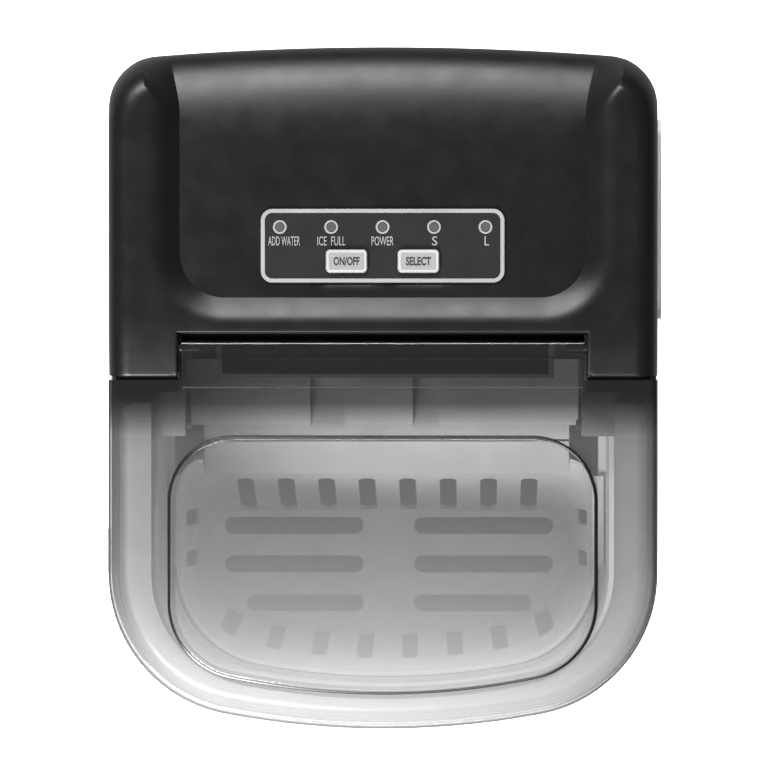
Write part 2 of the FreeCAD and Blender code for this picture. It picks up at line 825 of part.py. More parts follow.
def console_electronics():
    """Display board under the console floor, with five light pipes and two tact switches."""
    board = block(-52, 52, 46.5, 77, BOARD_LEVEL, BOARD_LEVEL + 1.6)
    posts = []
    for x in (-48, 48):
        for y in (50, 74):
            posts.append(rod("Z", x, y, BOARD_LEVEL + 1.6, 2.5, size.floor_level - 2.5 - BOARD_LEVEL - 1.6))
    keep("display_board", fuse(board, *posts))
    base = BOARD_LEVEL + 1.6
    pipes = []
    for n in range(-2, 3):
        tall = size.floor_level + FILM + LAMP_TOP - base
        pipes.append(rod("Z", n * size.lamp_pitch, size.lamp_rear, base, 1.9, tall))
    keep("lamp_lenses", group(*pipes))
    switches = []
    for side in (-1, 1):
        x, y = side * size.button_out, size.button_rear
        switches.append(block(x - 3, x + 3, y - 3, y + 3, base, base + 2.4))
    keep("tact_switches", group(*switches))


BUTTON_PROUD = 1.9


def button(label, side):
    """A rounded key with a flange below the console floor and a stem over its switch."""
    piece = Moulding(label)
    x, half, deep = side * size.button_out, size.button_wide / 2, size.button_deep / 2
    low, high = size.button_rear - deep, size.button_rear + deep
    cap = piece.draw("XY", size.floor_level - 2.9)
    cap.rounded(x - half, x + half, low, high, 2)
    piece.pad(cap, 2.9 + FILM + BUTTON_PROUD)
    piece.round(lambda edge: level(edge, size.floor_level + FILM + BUTTON_PROUD), 0.8)
    flange = piece.draw("XY", size.floor_level - 3.9)
    flange.rounded(x - half - 0.8, x + half + 0.8, low - 0.8, high + 0.8, 2.5)
    piece.pad(flange, 1.2)
    stem = piece.draw("XY", size.floor_level - 5)
    stem.circle(x, size.button_rear, 2)
    piece.pad(stem, 2)


# ---------------------------------------------------------------- lid

BARREL = 5


def lid():
    """Tinted clear lid: a skirt round the crowned rim, a raised window, and a tab with a hinge barrel."""
    piece = Moulding("lid")
    piece.pad(outline(piece.draw("XY", size.lid_bottom), 0), size.lid_top - size.lid_bottom)
    rear = piece.draw("XY", size.lid_top)
    rear.rectangle(-FAR, FAR, size.shoulder - 1.1, FAR)
    piece.pocket(rear, 50)
    piece.round(lambda edge: level(edge, size.lid_top) and edge.BoundBox.YMin < -10, 4)
    hollow = outline(piece.draw("XY", size.lid_bottom - 1), size.lid_wall)
    piece.pocket(hollow, size.lid_top - size.lid_wall - size.lid_bottom + 1, ahead=True)
    tab = piece.draw("XY", size.lid_top - size.lid_wall)
    tab.rectangle(-size.tab_half, size.tab_half, size.shoulder - 2, size.hinge_rear)
    piece.pad(tab, size.lid_wall)
    barrel = piece.draw("YZ", -size.tab_half)
    barrel.circle(size.hinge_rear, size.hinge_level, BARREL)
    piece.pad(barrel, size.tab_half * 2)
    step = size.window_top - size.lid_top
    window = piece.draw("XY", size.lid_top - 0.5)
    window.bow(93.5, -134, -22.2, 330, 33, 28)
    piece.pad(window, step + 0.5)
    piece.round(lambda edge: level(edge, size.window_top), 1.2)
    under = piece.draw("XY", size.lid_top - size.lid_wall - 1)
    under.bow(91.1, -131.6, -24.6, 327.6, 30.6, 25.6)
    piece.pocket(under, step + 1, ahead=True)
    pins = piece.draw("YZ", -size.tab_half)
    pins.circle(size.hinge_rear, size.hinge_level, size.hinge_pin)
    piece.pocket(pins, 8, ahead=True)
    pins = piece.draw("YZ", size.tab_half)
    pins.circle(size.hinge_rear, size.hinge_level, size.hinge_pin)
    piece.pocket(pins, 8)


def hinge_pins():
    """Two steel pins in the ends of the lid's barrel, which turn in the cover."""
    length = 12
    left = rod("X", -size.tab_half - 4, size.hinge_rear, size.hinge_level, size.hinge_pin, length)
    right = rod("X", size.tab_half + 4 - length, size.hinge_rear, size.hinge_level, size.hinge_pin, length)
    keep("hinge_pins", group(left, right))


# ---------------------------------------------------------------- basket

BASKET_TAPER = 11
BASKET_FRONT_TAPER = 16.6
BASKET_REAR_TAPER = 26
BASKET_CORNER, BASKET_CORNER_TAPER = 46, 16


def basket_section(drawing, inset, up):
    """The basket's outline, at its floor if up is 0 and at its rim if up is 1."""
    down = 1 - up
    half = size.basket_half - BASKET_TAPER * down - inset
    front = size.basket_front + BASKET_FRONT_TAPER * down + inset
    rear = size.basket_rear - BASKET_REAR_TAPER * down - inset
    corner = BASKET_CORNER - BASKET_CORNER_TAPER * down - inset
    drawing.bow(half, front, rear, 320 - inset, corner, 14 - inset)
    return drawing


def ice_basket():
    """Tapered basket with drain slots in its floor and walls, a low rear edge with a lip that meets the
    ramp, and two tabs that hang on the liner's ledges."""
    piece = Moulding("ice_basket")
    wall = size.basket_wall
    floor, rim = size.basket_floor, size.basket_rim
    piece.loft(basket_section(piece.draw("XY", floor), 0, 0), basket_section(piece.draw("XY", rim), 0, 1))
    inner_low = basket_section(piece.draw("XY", floor + wall), wall, 0.02)
    inner_high = basket_section(piece.draw("XY", rim + 0.01), wall, 1)
    piece.loft(inner_low, inner_high, cut=True)
    gate = piece.draw("XY", rim + 1)
    gate.rectangle(-84, 84, -54, -20)
    piece.pocket(gate, 1 + rim - size.ramp_level + 0.5)
    lip = piece.draw("XY", size.ramp_level - 2.3)
    lip.rectangle(-84, 84, -41.3, size.ramp_front - 1)
    piece.pad(lip, 1.8)
    for side in (-1, 1):
        tab = piece.draw("XY", size.ledge_level + size.skin_gap)
        near, far = side * (size.basket_half - 1.2), side * (size.chamber_half - 1)
        low_x, high_x = (far, near) if side < 0 else (near, far)
        tab.rectangle(low_x, high_x, -84, -42)
        piece.pad(tab, 2.4)
    slots = piece.draw("XY", floor + wall + 3)
    for y, out in ((-68, 73.6), (-86.2, 73.6), (-104.7, 63.2)):
        for side in (-1, 1):
            slots.slot(side * 16, y, side * out, y, 4)
    piece.pocket(slots, 12)
    back = piece.draw("XZ", -30)
    for n in range(8):
        x = (n - 3.5) * 18.8
        back.slot(x, 157, x, 198, 3.9)
    piece.pocket(back, 30, ahead=True)
    for n in range(8):
        x = (n - 3.5) * 20.5
        front = piece.draw("XZ", -107 + abs(x) * 0.12)
        front.slot(x, 162, x * 1.03, 201, 3.6)
        piece.pocket(front, 40, ahead=True)
    for side in (-1, 1):
        flank = piece.draw("YZ", side * 80)
        for y in (-62, -81):
            flank.slot(y, 183, y, 209, 3.6)
        piece.pocket(flank, 30, ahead=side > 0)


# ---------------------------------------------------------------- freezing plant

TRAY_ARC = 65
TRAY_WALL = 2


def tray_sector(drawing, radius):
    """A sector round the tray's axis, open upwards, as a closed outline of arc and two straight sides."""
    reach = math.radians(TRAY_ARC)
    y, z = size.tray_rear, size.tray_level
    side, drop = radius * math.sin(reach), radius * math.cos(reach)
    arc = drawing.arc(y, z, radius, -90 - TRAY_ARC, -90 + TRAY_ARC)
    near = drawing.line(y + side, z - drop, y, z)
    far = drawing.line(y, z, y - side, z - drop)
    drawing.relate("Coincident", arc, END, near, START)
    drawing.relate("Coincident", near, END, far, START)
    drawing.relate("Coincident", far, END, arc, START)
    drawing.relate("Coincident", arc, CENTRE, near, END)
    drawing.pin(near, END, y, z)
    drawing.fix("Radius", arc, radius)
    drawing.fix("DistanceY", AXES, 1, near, START, z - drop)
    drawing.fix("DistanceY", AXES, 1, far, END, z - drop)
    return drawing


def water_tray():
    """Trough round the freezing fingers, an arc about its own pivot so that it can swing clear."""
    piece = Moulding("water_tray")
    outer = tray_sector(piece.draw("YZ", -size.tray_half), size.tray_inner + TRAY_WALL)
    piece.pad(outer, size.tray_half * 2)
    inner = tray_sector(piece.draw("YZ", -size.tray_half + 2.5), size.tray_inner)
    piece.pocket(inner, size.tray_half * 2 - 5, ahead=True)
    for side in (-1, 1):
        hub = piece.draw("YZ", side * size.tray_half if side < 0 else size.tray_half - 2.5)
        hub.circle(size.tray_rear, size.tray_level, 7)
        piece.pad(hub, 2.5)
    bore = piece.draw("YZ", -size.tray_half - 1)
    bore.circle(size.tray_rear, size.tray_level, 3)
    piece.pocket(bore, size.tray_half * 2 + 2, ahead=True)


MOTOR_BACK, MOTOR_FACE = -117.5, -105.5
PLATE_HALF = 31


def tray_drive():
    """Steel stub shafts on the tray's axis and the flat gear motor that turns the left one."""
    y, z = size.tray_rear, size.tray_level
    left_pin = rod("X", -size.tray_half, y, z, 3, 2.5)
    left = rod("X", MOTOR_FACE + 1, y, z, 4, -MOTOR_FACE - 1 - size.tray_half)
    right_pin = rod("X", size.tray_half - 2.5, y, z, 3, 2.5)
    right = rod("X", size.tray_half, y, z, 4, size.chamber_half - size.tray_half)
    keep("tray_shafts", group(fuse(left_pin, left), fuse(right, right_pin)))
    can = rod("X", MOTOR_BACK, y, z - 9, 24, MOTOR_FACE - MOTOR_BACK)
    ears = block(MOTOR_BACK, MOTOR_BACK + 2, y - PLATE_HALF, y + PLATE_HALF, z - 14, z - 4)
    keep("tray_motor", fuse(can, ears))


def evaporator():
    """Nickel-plated evaporator tube with nine freezing fingers below it."""
    y, z = size.tray_rear, TUBE_LEVEL
    route = [(-TUBE_OUT, TUBE_END, z), (-TUBE_OUT, y, z), (TUBE_OUT, y, z), (TUBE_OUT, TUBE_END, z)]
    keep("evaporator_tube", bent_pipe(route, size.tube_radius, 8))
    fingers = []
    saddle = rod("X", -TUBE_OUT, y, z, size.tube_radius + 0.05, 2 * TUBE_OUT)
    for n in range(-4, 5):
        top = z + 5
        fingers.append(rod("Z", n * size.finger_pitch, y, FINGER_LOW, size.finger_radius, top - FINGER_LOW))
    keep("evaporator_fingers", cut(group(*fingers), saddle))


def ice_shovel():
    """Pusher that slides on the ramp: three wedge paddles on one bar."""
    piece = Moulding("ice_shovel")
    low = size.ramp_level + 0.5
    profile = piece.draw("YZ", -90)
    profile.polygon([
        (-18.9, low), (12, low), (12, low + 8), (0, low + 8), (-11, low + 5.5), (-18.9, low + 1.5),
    ])
    piece.pad(profile, 178)
    gaps = piece.draw("XY", low + 9)
    gaps.rectangle(-35, -19, -30, 5)
    gaps.rectangle(12, 24.5, -30, 5)
    piece.pocket(gaps, 12)


def water_parts():
    """Pump, its hose up to the nozzle over the tray, and the ice-full eyes in the frame's cheeks."""
    tank_back = size.tank_rear + size.wall
    x, y = -98, 32
    body = rod("Z", x, y, size.plate_top, 15, 66)
    inlet = rod("Y", x + 4, tank_back, 70, 4, y - tank_back)
    outlet = rod("X", x, y, 50, 4, 24)
    keep("water_pump", fuse(body, inlet, outlet))
    nozzle = ring("Y", NOZZLE_X, size.bay_wall - 1.2, NOZZLE_LEVEL, 5.15, 3, 13)
    keep("water_nozzle", nozzle)
    eyes = []
    for side in (-1, 1):
        x = side * CHEEK_INNER
        eyes.append(rod("X", x - 2.5 if side > 0 else x, -17, 293, 2.3, 2.5))
    keep("ice_eyes", group(*eyes))


def water_level():
    """Float on a stem in the tank."""
    x, y = -84, -12
    stem = fuse(rod("Z", x, y, size.tank_floor, 2.5, 46), rod("Z", x, y, size.tank_floor + 43, 6, 3))
    keep("float_stem", stem)
    keep("water_float", ring("Z", x, y, size.tank_floor + 6, 10, 2.9, 14))


def drain():
    """Drain spout through the left panel, and its rubber plug."""
    start = -size.half_width + 0.1
    length = size.half_width - 0.1 - size.tank_half - size.wall
    spout = ring("X", start, DRAIN_Y, DRAIN_LEVEL, 9, 7, length)
    keep("drain_spout", spout)
    flange = rod("X", -size.half_width - GRILLE_PROUD, DRAIN_Y, DRAIN_LEVEL, 11, GRILLE_PROUD - 0.2)
    shank = rod("X", -size.half_width - 0.5, DRAIN_Y, DRAIN_LEVEL, 6.92, 16)
    keep("drain_plug", fuse(flange, shank))


# ---------------------------------------------------------------- refrigeration bay

def compressor():
    """Hermetic compressor on three rubber mounts."""
    x, y, radius = size.compressor_x, size.compressor_y, size.compressor_radius
    piece = Moulding("compressor")
    shell = piece.draw("XY", 22)
    shell.circle(x, y, radius)
    piece.pad(shell, 128)
    piece.round(lambda edge: level(edge, 150) or level(edge, 22), 22)
    base = piece.draw("XY", 19)
    base.circle(x, y, radius - 20)
    piece.pad(base, 5)
    mounts = []
    for turn in (30, 150, 270):
        angle = math.radians(turn)
        spot_x, spot_y = x + 26 * math.cos(angle), y + 26 * math.sin(angle)
        mounts.append(rod("Z", spot_x, spot_y, size.plate_top, 8, 19 - size.plate_top))
    keep("compressor_mounts", group(*mounts))
    cover = block(x + 30, x + 50, y - 14, y + 14, 152, 176)
    keep("terminal_cover", cut(cover, block(x + 32, x + 48, y - 12, y + 12, 151, 174)))


def condenser():
    """Plate fins on a serpentine tube, in front of the grille."""
    fins = []
    y0 = 38
    for n in range(15):
        y = y0 + 8 + 4.8 * n
        fins.append(block(98, 114, y, y + 0.8, 34, 150))
    rows = [46 + 23 * n for n in range(5)]
    holes = [rod("Y", 106, y0 - 4, z, 4.1, 100) for z in rows]
    keep("condenser_fins", cut(group(*fins), *holes))
    route = []
    for n, z in enumerate(rows):
        ends = (y0 - 2, y0 + 86)
        route += [(106, y, z) for y in (ends if n % 2 == 0 else ends[::-1])]
    keep("condenser_tube", bent_pipe(route, 4, 9))


def fan():
    """Axial fan that blows through the condenser."""
    y, z, radius = size.fan_y, size.fan_level, size.fan_radius
    plate = block(78, 96, y - 46, y + 46, z - 56, z + 56)
    tunnel = rod("X", 77, y, z, radius + 2, 20)
    keep("fan_shroud", cut(plate, tunnel, block(77, 93.5, y - 43.5, y + 43.5, z - 53.5, z + 53.5)))
    can = rod("X", 34, y, z, 17, 30)
    spindle = rod("X", 64, y, z, 2, 12)
    arm = block(60, 64, y - 44, y + 44, z - 4, z + 4)
    keep("fan_motor", cut(fuse(can, arm), rod("X", 60, y, z, 2.02, 5)))
    hub = ring("X", 67, y, z, 10, 2.05, 14)
    blades = []
    for n in range(5):
        wing = doc.addObject("Part::Box", "Wing")
        wing.Length, wing.Width, wing.Height = 2, 18, (radius - 9).value
        bind(wing, "Height", radius - 9)
        tilt = Rotation(Vector(0, 0, 1), 32)
        spin = Rotation(Vector(1, 0, 0), 72 * n)
        local = FreeCAD.Placement(Vector(0, 0, 8), tilt).multiply(
            FreeCAD.Placement(Vector(-1, -9, 0), Rotation())
        )
        turned = FreeCAD.Placement(Vector(74, y.value, z.value), spin).multiply(local)
        wing.Placement = turned
        bind(wing, "Placement.Base.y", y + (turned.Base.y - y.value))
        bind(wing, "Placement.Base.z", z + (turned.Base.z - z.value))
        blades.append(wing)
    keep("fan_blade", fuse(hub, *blades))
    keep("fan_spindle", spindle)


DRIER_X, DRIER_Y = 52, 136


def refrigerant_lines():
    """Copper lines between the compressor, condenser, evaporator and valve."""
    x, bay_y, top = -58, 122, TUBE_LEVEL
    keep("suction_line", bent_pipe([
        (-TUBE_OUT, TUBE_END, top), (-TUBE_OUT, bay_y, top), (-TUBE_OUT, bay_y, 180),
        (x, 100, 180), (x, 100, 150),
    ], size.tube_radius, 7))
    keep("filter_drier", fuse(
        rod("Z", DRIER_X, DRIER_Y, 60, 9, 60),
        rod("Z", DRIER_X, DRIER_Y, 50, 3, 10),
        rod("Z", DRIER_X, DRIER_Y, 120, 3, 10),
    ))
    keep("hot_gas_valve", fuse(
        rod("Z", TUBE_OUT, 126, 196, 5, 34),
        block(TUBE_OUT - 14, TUBE_OUT + 14, 112, 140, 204, 224),
    ))
    keep("hot_gas_line", bent_pipe([
        (TUBE_OUT, TUBE_END, top), (TUBE_OUT, 126, top), (TUBE_OUT, 126, 230),
    ], size.tube_radius, 8))
    keep("capillary_line", bent_pipe([
        (DRIER_X, DRIER_Y, 130), (DRIER_X, DRIER_Y, 168), (TUBE_OUT, 126, 180), (TUBE_OUT, 126, 196),
    ], 1.6, 6))


def power_board():
    """Power board on the frame's deck, with a relay, a transformer and a connector."""
    deck = size.panel_top + 2.5
    board = block(-58, 50, 103, 138, deck + 4, deck + 5.6)
    posts = [rod("Z", x, y, deck, 2.5, 4) for x in (-54, 46) for y in (106, 135)]
    keep("power_board", fuse(board, *posts))
    top = deck + 5.6
    keep("board_components", group(
        block(-50, -22, 108, 133, top, top + 14), block(-12, 4, 110, 130, top, top + 12),
        block(14, 40, 124, 133, top, top + 8), rod("Z", 20, 113, top, 5, 13)))


def cord_gland():
    """Rubber bush where the mains cord enters; the cord is not part of the model."""
    bush = ring("Y", GLAND_X, 141, GLAND_Z, 7.9, 3.6, 9)
    inside = ring("Y", GLAND_X, 141, GLAND_Z, 10, 3.6, 3)
    keep("cord_gland", fuse(bush, inside))


def fasteners():
    """Screw heads under the base plate."""
    screws = []
    for x, y in ((-60, -128), (60, -128), (-112, 40), (112, 20)):
        screws.append(rod("Z", x, y, size.foot_height - 2, 3.2, 1.9))
    keep("base_screws", group(*screws))


def insulation():
    """Foam slab between the tank and the warm bay."""
    start = size.tank_rear + size.wall + 0.5
    keep("bay_insulation", block(-88, 96, start, start + 8, size.tank_floor, size.ramp_level - 4))


for make in (
    base_plate, feet, front_panel, rear_panel, side_panels, side_vent_grille, top_frame, liner,
    top_cover, cover_screws, control_film, console_electronics, lid, hinge_pins, ice_basket,
    water_tray, tray_drive, evaporator, ice_shovel, water_parts, water_level, drain, compressor,
    condenser, fan, refrigerant_lines, power_board, cord_gland, fasteners, insulation,
):
    make()
button("on_off_button", -1)
button("select_button", 1)

# ---------------------------------------------------------------- check and write

doc.recompute()
faults = [
    f"{thing.Label} ({thing.Name}): {', '.join(thing.State)}"
    for thing in doc.Objects
    if "Invalid" in thing.State or "Error" in thing.State
]
for thing in PIECES:
    if thing.Shape.isNull() or not thing.Shape.isValid():
        faults.append(f"{thing.Label}: no valid shape")
if faults:
    raise RuntimeError("; ".join(faults))

os.makedirs("parts", exist_ok=True)
for thing in PIECES:
    thing.Shape.exportStep(os.path.join("parts", thing.Label + ".step"))
print(len(PIECES), "sub-parts written")
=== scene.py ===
"""Looks for the countertop ice maker: materials for every CAD node, a smoothly modelled black cover,
the printed console, a plain pale floor, soft studio light and the camera.

Shapes are drawn in millimetres in the CAD frame and written to the meshes in metres.
"""

import math

import bmesh
import bpy
from mathutils import Matrix, Vector
from mathutils.geometry import delaunay_2d_cdt


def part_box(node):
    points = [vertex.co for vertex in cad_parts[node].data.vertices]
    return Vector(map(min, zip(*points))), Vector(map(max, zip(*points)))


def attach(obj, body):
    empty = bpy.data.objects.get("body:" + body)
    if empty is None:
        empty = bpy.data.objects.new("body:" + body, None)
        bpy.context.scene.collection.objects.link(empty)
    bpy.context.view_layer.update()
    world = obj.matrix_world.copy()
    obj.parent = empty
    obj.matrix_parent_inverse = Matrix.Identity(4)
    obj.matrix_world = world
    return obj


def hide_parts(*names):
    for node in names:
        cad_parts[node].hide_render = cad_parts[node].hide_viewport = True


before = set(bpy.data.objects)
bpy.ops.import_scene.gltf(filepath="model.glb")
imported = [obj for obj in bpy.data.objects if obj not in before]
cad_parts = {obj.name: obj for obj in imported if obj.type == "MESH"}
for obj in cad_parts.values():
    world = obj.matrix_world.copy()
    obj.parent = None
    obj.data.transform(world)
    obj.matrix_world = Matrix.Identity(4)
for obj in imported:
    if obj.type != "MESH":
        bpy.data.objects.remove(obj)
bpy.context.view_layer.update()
MM = 0.001


def span(node):
    """A CAD node's lowest and highest corner in millimetres."""
    low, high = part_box(node)
    return Vector(low) / MM, Vector(high) / MM


# ---------------------------------------------------------------- materials

def new_material(name):
    mat = bpy.data.materials.new(name)
    mat.use_nodes = True
    return mat, mat.node_tree, mat.node_tree.nodes["Principled BSDF"]


def noise(tree, size, detail=3.0, stretch=(1, 1, 1)):
    """A noise texture in object space whose features are about size millimetres across."""
    place = tree.nodes.new("ShaderNodeTexCoord")
    scale = tree.nodes.new("ShaderNodeMapping")
    scale.inputs["Scale"].default_value = stretch
    tree.links.new(place.outputs["Object"], scale.inputs["Vector"])
    texture = tree.nodes.new("ShaderNodeTexNoise")
    texture.inputs["Scale"].default_value = 1 / (size * MM)
    texture.inputs["Detail"].default_value = detail
    tree.links.new(scale.outputs["Vector"], texture.inputs["Vector"])
    return texture.outputs["Fac"]


def spread(tree, value, low, high, start=0.3, end=0.7):
    """Map a noise value from start..end to low..high."""
    ranged = tree.nodes.new("ShaderNodeMapRange")
    for socket, number in zip(("From Min", "From Max", "To Min", "To Max"), (start, end, low, high)):
        ranged.inputs[socket].default_value = number
    tree.links.new(value, ranged.inputs["Value"])
    return ranged.outputs["Result"]


def blend_colours(tree, factor, first, second):
    mix = tree.nodes.new("ShaderNodeMix")
    mix.data_type = "RGBA"
    mix.inputs["A"].default_value = (*first, 1)
    mix.inputs["B"].default_value = (*second, 1)
    tree.links.new(factor, mix.inputs["Factor"])
    return mix.outputs["Result"]


def bump(tree, height, depth):
    """A bump of depth millimetres."""
    node = tree.nodes.new("ShaderNodeBump")
    node.inputs["Strength"].default_value = 1
    node.inputs["Distance"].default_value = depth * MM
    tree.links.new(height, node.inputs["Height"])
    return node.outputs["Normal"]


def surface(name, colour, rough, metal=0.0, grain=0.6, depth=0.01, mottle=0.06, patch=18, specular=0.5,
            stretch=(1, 1, 1), coat=0.0):
    """A moulded, painted or plated surface with fine grain, slow colour variation and uneven gloss."""
    mat, tree, shader = new_material(name)
    shader.inputs["Metallic"].default_value = metal
    shader.inputs["Specular IOR Level"].default_value = specular
    shader.inputs["Coat Weight"].default_value = coat
    shader.inputs["Coat Roughness"].default_value = 0.15
    darker = tuple(c * (1 - mottle) for c in colour)
    lighter = tuple(min(1.0, c * (1 + mottle)) for c in colour)
    slow = noise(tree, patch)
    shade = blend_colours(tree, spread(tree, slow, 0, 1), darker, lighter)
    tree.links.new(shade, shader.inputs["Base Color"])
    gloss = spread(tree, noise(tree, patch * 0.6), rough * 0.9, min(1.0, rough * 1.1))
    tree.links.new(gloss, shader.inputs["Roughness"])
    fine = noise(tree, grain, 2.0, stretch)
    tree.links.new(bump(tree, fine, depth), shader.inputs["Normal"])
    return mat


def grey(value):
    return (value, value, value)


def along(tree, axis, start, end, low, high):
    """A value that runs from low to high between two places on the object's own axis, in millimetres."""
    place = tree.nodes.new("ShaderNodeTexCoord")
    apart = tree.nodes.new("ShaderNodeSeparateXYZ")
    tree.links.new(place.outputs["Object"], apart.inputs["Vector"])
    return spread(tree, apart.outputs[axis], low, high, start * MM, end * MM)


def tinted_clear(name, rough):
    """Smoked plastic: a tint that deepens at grazing angles and, as painted shade, towards the tab; on its
    top a diffuse layer that is a slight haze at the rear and a painted reflection veil growing towards the
    front; and gloss that grows at grazing angles."""
    mat, tree, shader = new_material(name)
    tree.nodes.remove(shader)
    facing = tree.nodes.new("ShaderNodeLayerWeight")
    facing.inputs["Blend"].default_value = 0.5
    slant = facing.outputs["Facing"]
    # Painted shade: the lid's tint darkens from y -21 mm to y -7 mm and stays dark over the tab, so what lies
    # under the cover is seen darker.
    tab_painted_shade_tint = blend_colours(tree, along(tree, "Y", -21, -7, 0, 1), grey(0.98), grey(0.36))
    deepen = tree.nodes.new("ShaderNodeMix")
    deepen.data_type = "RGBA"
    deepen.inputs["B"].default_value = (0.10, 0.10, 0.10, 1)
    tree.links.new(spread(tree, slant, 0, 1, 0.1, 0.6), deepen.inputs["Factor"])
    tree.links.new(tab_painted_shade_tint, deepen.inputs["A"])
    clear = tree.nodes.new("ShaderNodeBsdfTransparent")
    tree.links.new(deepen.outputs["Result"], clear.inputs["Color"])
    # This diffuse layer is both a slight haze and the painted reflection veil set below.
    haze_and_veil_diffuse = tree.nodes.new("ShaderNodeBsdfDiffuse")
    haze_and_veil_diffuse.inputs["Color"].default_value = (0.75, 0.75, 0.75, 1)
    gloss = tree.nodes.new("ShaderNodeBsdfGlossy")
    gloss.inputs["Color"].default_value = (1, 1, 1, 1)
    gloss.inputs["Roughness"].default_value = rough
    ripple = bump(tree, noise(tree, 9, 2.0), 0.02)
    tree.links.new(ripple, gloss.inputs["Normal"])
    power = tree.nodes.new("ShaderNodeMath")
    power.operation = "POWER"
    power.inputs[1].default_value = 5
    tree.links.new(slant, power.inputs[0])
    body = tree.nodes.new("ShaderNodeMixShader")
    # Painted reflection: a pale diffuse veil that grows towards the front in place of glare mirrored in the
    # lid; a slight haze thins towards the rear.
    front_painted_veil = tree.nodes.new("ShaderNodeMath")
    front_painted_veil.operation = "POWER"
    front_painted_veil.inputs[1].default_value = 3
    tree.links.new(along(tree, "Y", -150, -10, 0.62, 0), front_painted_veil.inputs[0])
    haze = tree.nodes.new("ShaderNodeMath")
    haze.operation = "ADD"
    tree.links.new(front_painted_veil.outputs["Value"], haze.inputs[0])
    tree.links.new(along(tree, "Y", -24, -4, 0.04, 0.008), haze.inputs[1])
    on_top = tree.nodes.new("ShaderNodeMath")
    on_top.operation = "MULTIPLY"
    tree.links.new(haze.outputs["Value"], on_top.inputs[0])
    tree.links.new(along(tree, "Z", 313.5, 317.3, 0.05, 1), on_top.inputs[1])
    tree.links.new(on_top.outputs["Value"], body.inputs["Fac"])
    tree.links.new(clear.outputs["BSDF"], body.inputs[1])
    tree.links.new(haze_and_veil_diffuse.outputs["BSDF"], body.inputs[2])
    skin = tree.nodes.new("ShaderNodeMixShader")
    tree.links.new(spread(tree, power.outputs["Value"], 0.04, 1, 0, 1), skin.inputs["Fac"])
    tree.links.new(body.outputs["Shader"], skin.inputs[1])
    tree.links.new(gloss.outputs["BSDF"], skin.inputs[2])
    output = next(node for node in tree.nodes if node.type == "OUTPUT_MATERIAL")
    tree.links.new(skin.outputs["Shader"], output.inputs["Surface"])
    return mat


LOOKS = {
    "silver_housing": surface("silver_housing", grey(0.38), 0.34, metal=0.15, grain=0.25, depth=0.006),
    "silver_steel": surface(
        "silver_steel", grey(0.58), 0.32, metal=0.9, grain=0.5, depth=0.0015, mottle=0.015, patch=60,
        stretch=(1, 1, 0.04)),
    "black_cover": surface(
        "black_cover", grey(0.0035), 0.36, grain=0.35, depth=0.012, mottle=0.06, specular=0.3),
    "liner_grey": surface("liner_grey", grey(0.84), 0.42, grain=0.5, depth=0.01),
    "basket_grey": surface("basket_grey", grey(0.94), 0.40, grain=0.5, depth=0.008),
    "film_black": surface("film_black", grey(0.012), 0.28, grain=0.5, depth=0.003),
    "button_grey": surface("button_grey", grey(0.20), 0.4, grain=0.3, depth=0.006),
    "lens_grey": surface("lens_grey", grey(0.055), 0.25, grain=1.0, depth=0.01),
    "rubber_black": surface("rubber_black", grey(0.02), 0.75, grain=0.3, depth=0.03),
    "rubber_grey": surface("rubber_grey", grey(0.55), 0.6, grain=0.3, depth=0.02),
    "steel": surface("steel", grey(0.55), 0.32, metal=1.0, grain=0.4, depth=0.004),
    "nickel": surface("nickel", (0.66, 0.63, 0.58), 0.18, metal=1.0, grain=0.8, depth=0.003),
    "copper": surface("copper", (0.72, 0.36, 0.22), 0.32, metal=1.0, grain=0.8, depth=0.005, mottle=0.2),
    "fin_aluminium": surface("fin_aluminium", grey(0.68), 0.38, metal=1.0, grain=0.4, depth=0.006),
    "compressor_black": surface("compressor_black", grey(0.02), 0.45, grain=1.2, depth=0.03),
    "board_green": surface("board_green", (0.03, 0.16, 0.06), 0.4, grain=0.4, depth=0.006, mottle=0.2),
    "parts_dark": surface("parts_dark", grey(0.06), 0.45, grain=0.4, depth=0.01),
    "tray_grey": surface("tray_grey", grey(0.30), 0.4, grain=0.5, depth=0.008),
    "shovel_grey": surface("shovel_grey", grey(0.88), 0.4, grain=0.5, depth=0.008),
    "foam_white": surface("foam_white", grey(0.82), 0.85, grain=2.5, depth=0.3),
    "float_white": surface("float_white", grey(0.8), 0.5, grain=0.6, depth=0.02),
    "smoke_lid": tinted_clear("smoke_lid", 0.07),
}
KEY_EDGE = surface("key_edge", grey(0.32), 0.4, grain=0.3, depth=0.004)
PRINT = surface("print_white", grey(0.21), 0.5, grain=0.4, depth=0.002)
INK = surface("ink_dark", grey(0.008), 0.5, grain=0.4, depth=0.002)

for name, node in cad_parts.items():
    old = node.data.materials[0].name.split(".")[0]
    node.data.materials.clear()
    node.data.materials.append(LOOKS[old])
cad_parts["side_vent_grille"].data.materials[0] = surface(
    "grille_pale", grey(0.82), 0.4, grain=0.3, depth=0.006)
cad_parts["hinge_pins"].data.materials[0] = surface(
    "blackened_steel", grey(0.08), 0.4, metal=0.6, grain=0.4, depth=0.004)


# ---------------------------------------------------------------- mesh helpers

def add_piece(name, verts, faces, look, body, slot, crease=30):
    """A new piece from points in millimetres, smooth except at edges sharper than crease degrees."""
    mesh = bpy.data.meshes.new(name)
    mesh.from_pydata([Vector(point) * MM for point in verts], [], faces)
    mesh.validate()
    mesh.shade_smooth()
    mesh.set_sharp_from_angle(angle=math.radians(crease))
    piece = bpy.data.objects.new(name, mesh)
    bpy.context.collection.objects.link(piece)
    mesh.materials.append(look)
    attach(piece, body)
    return piece


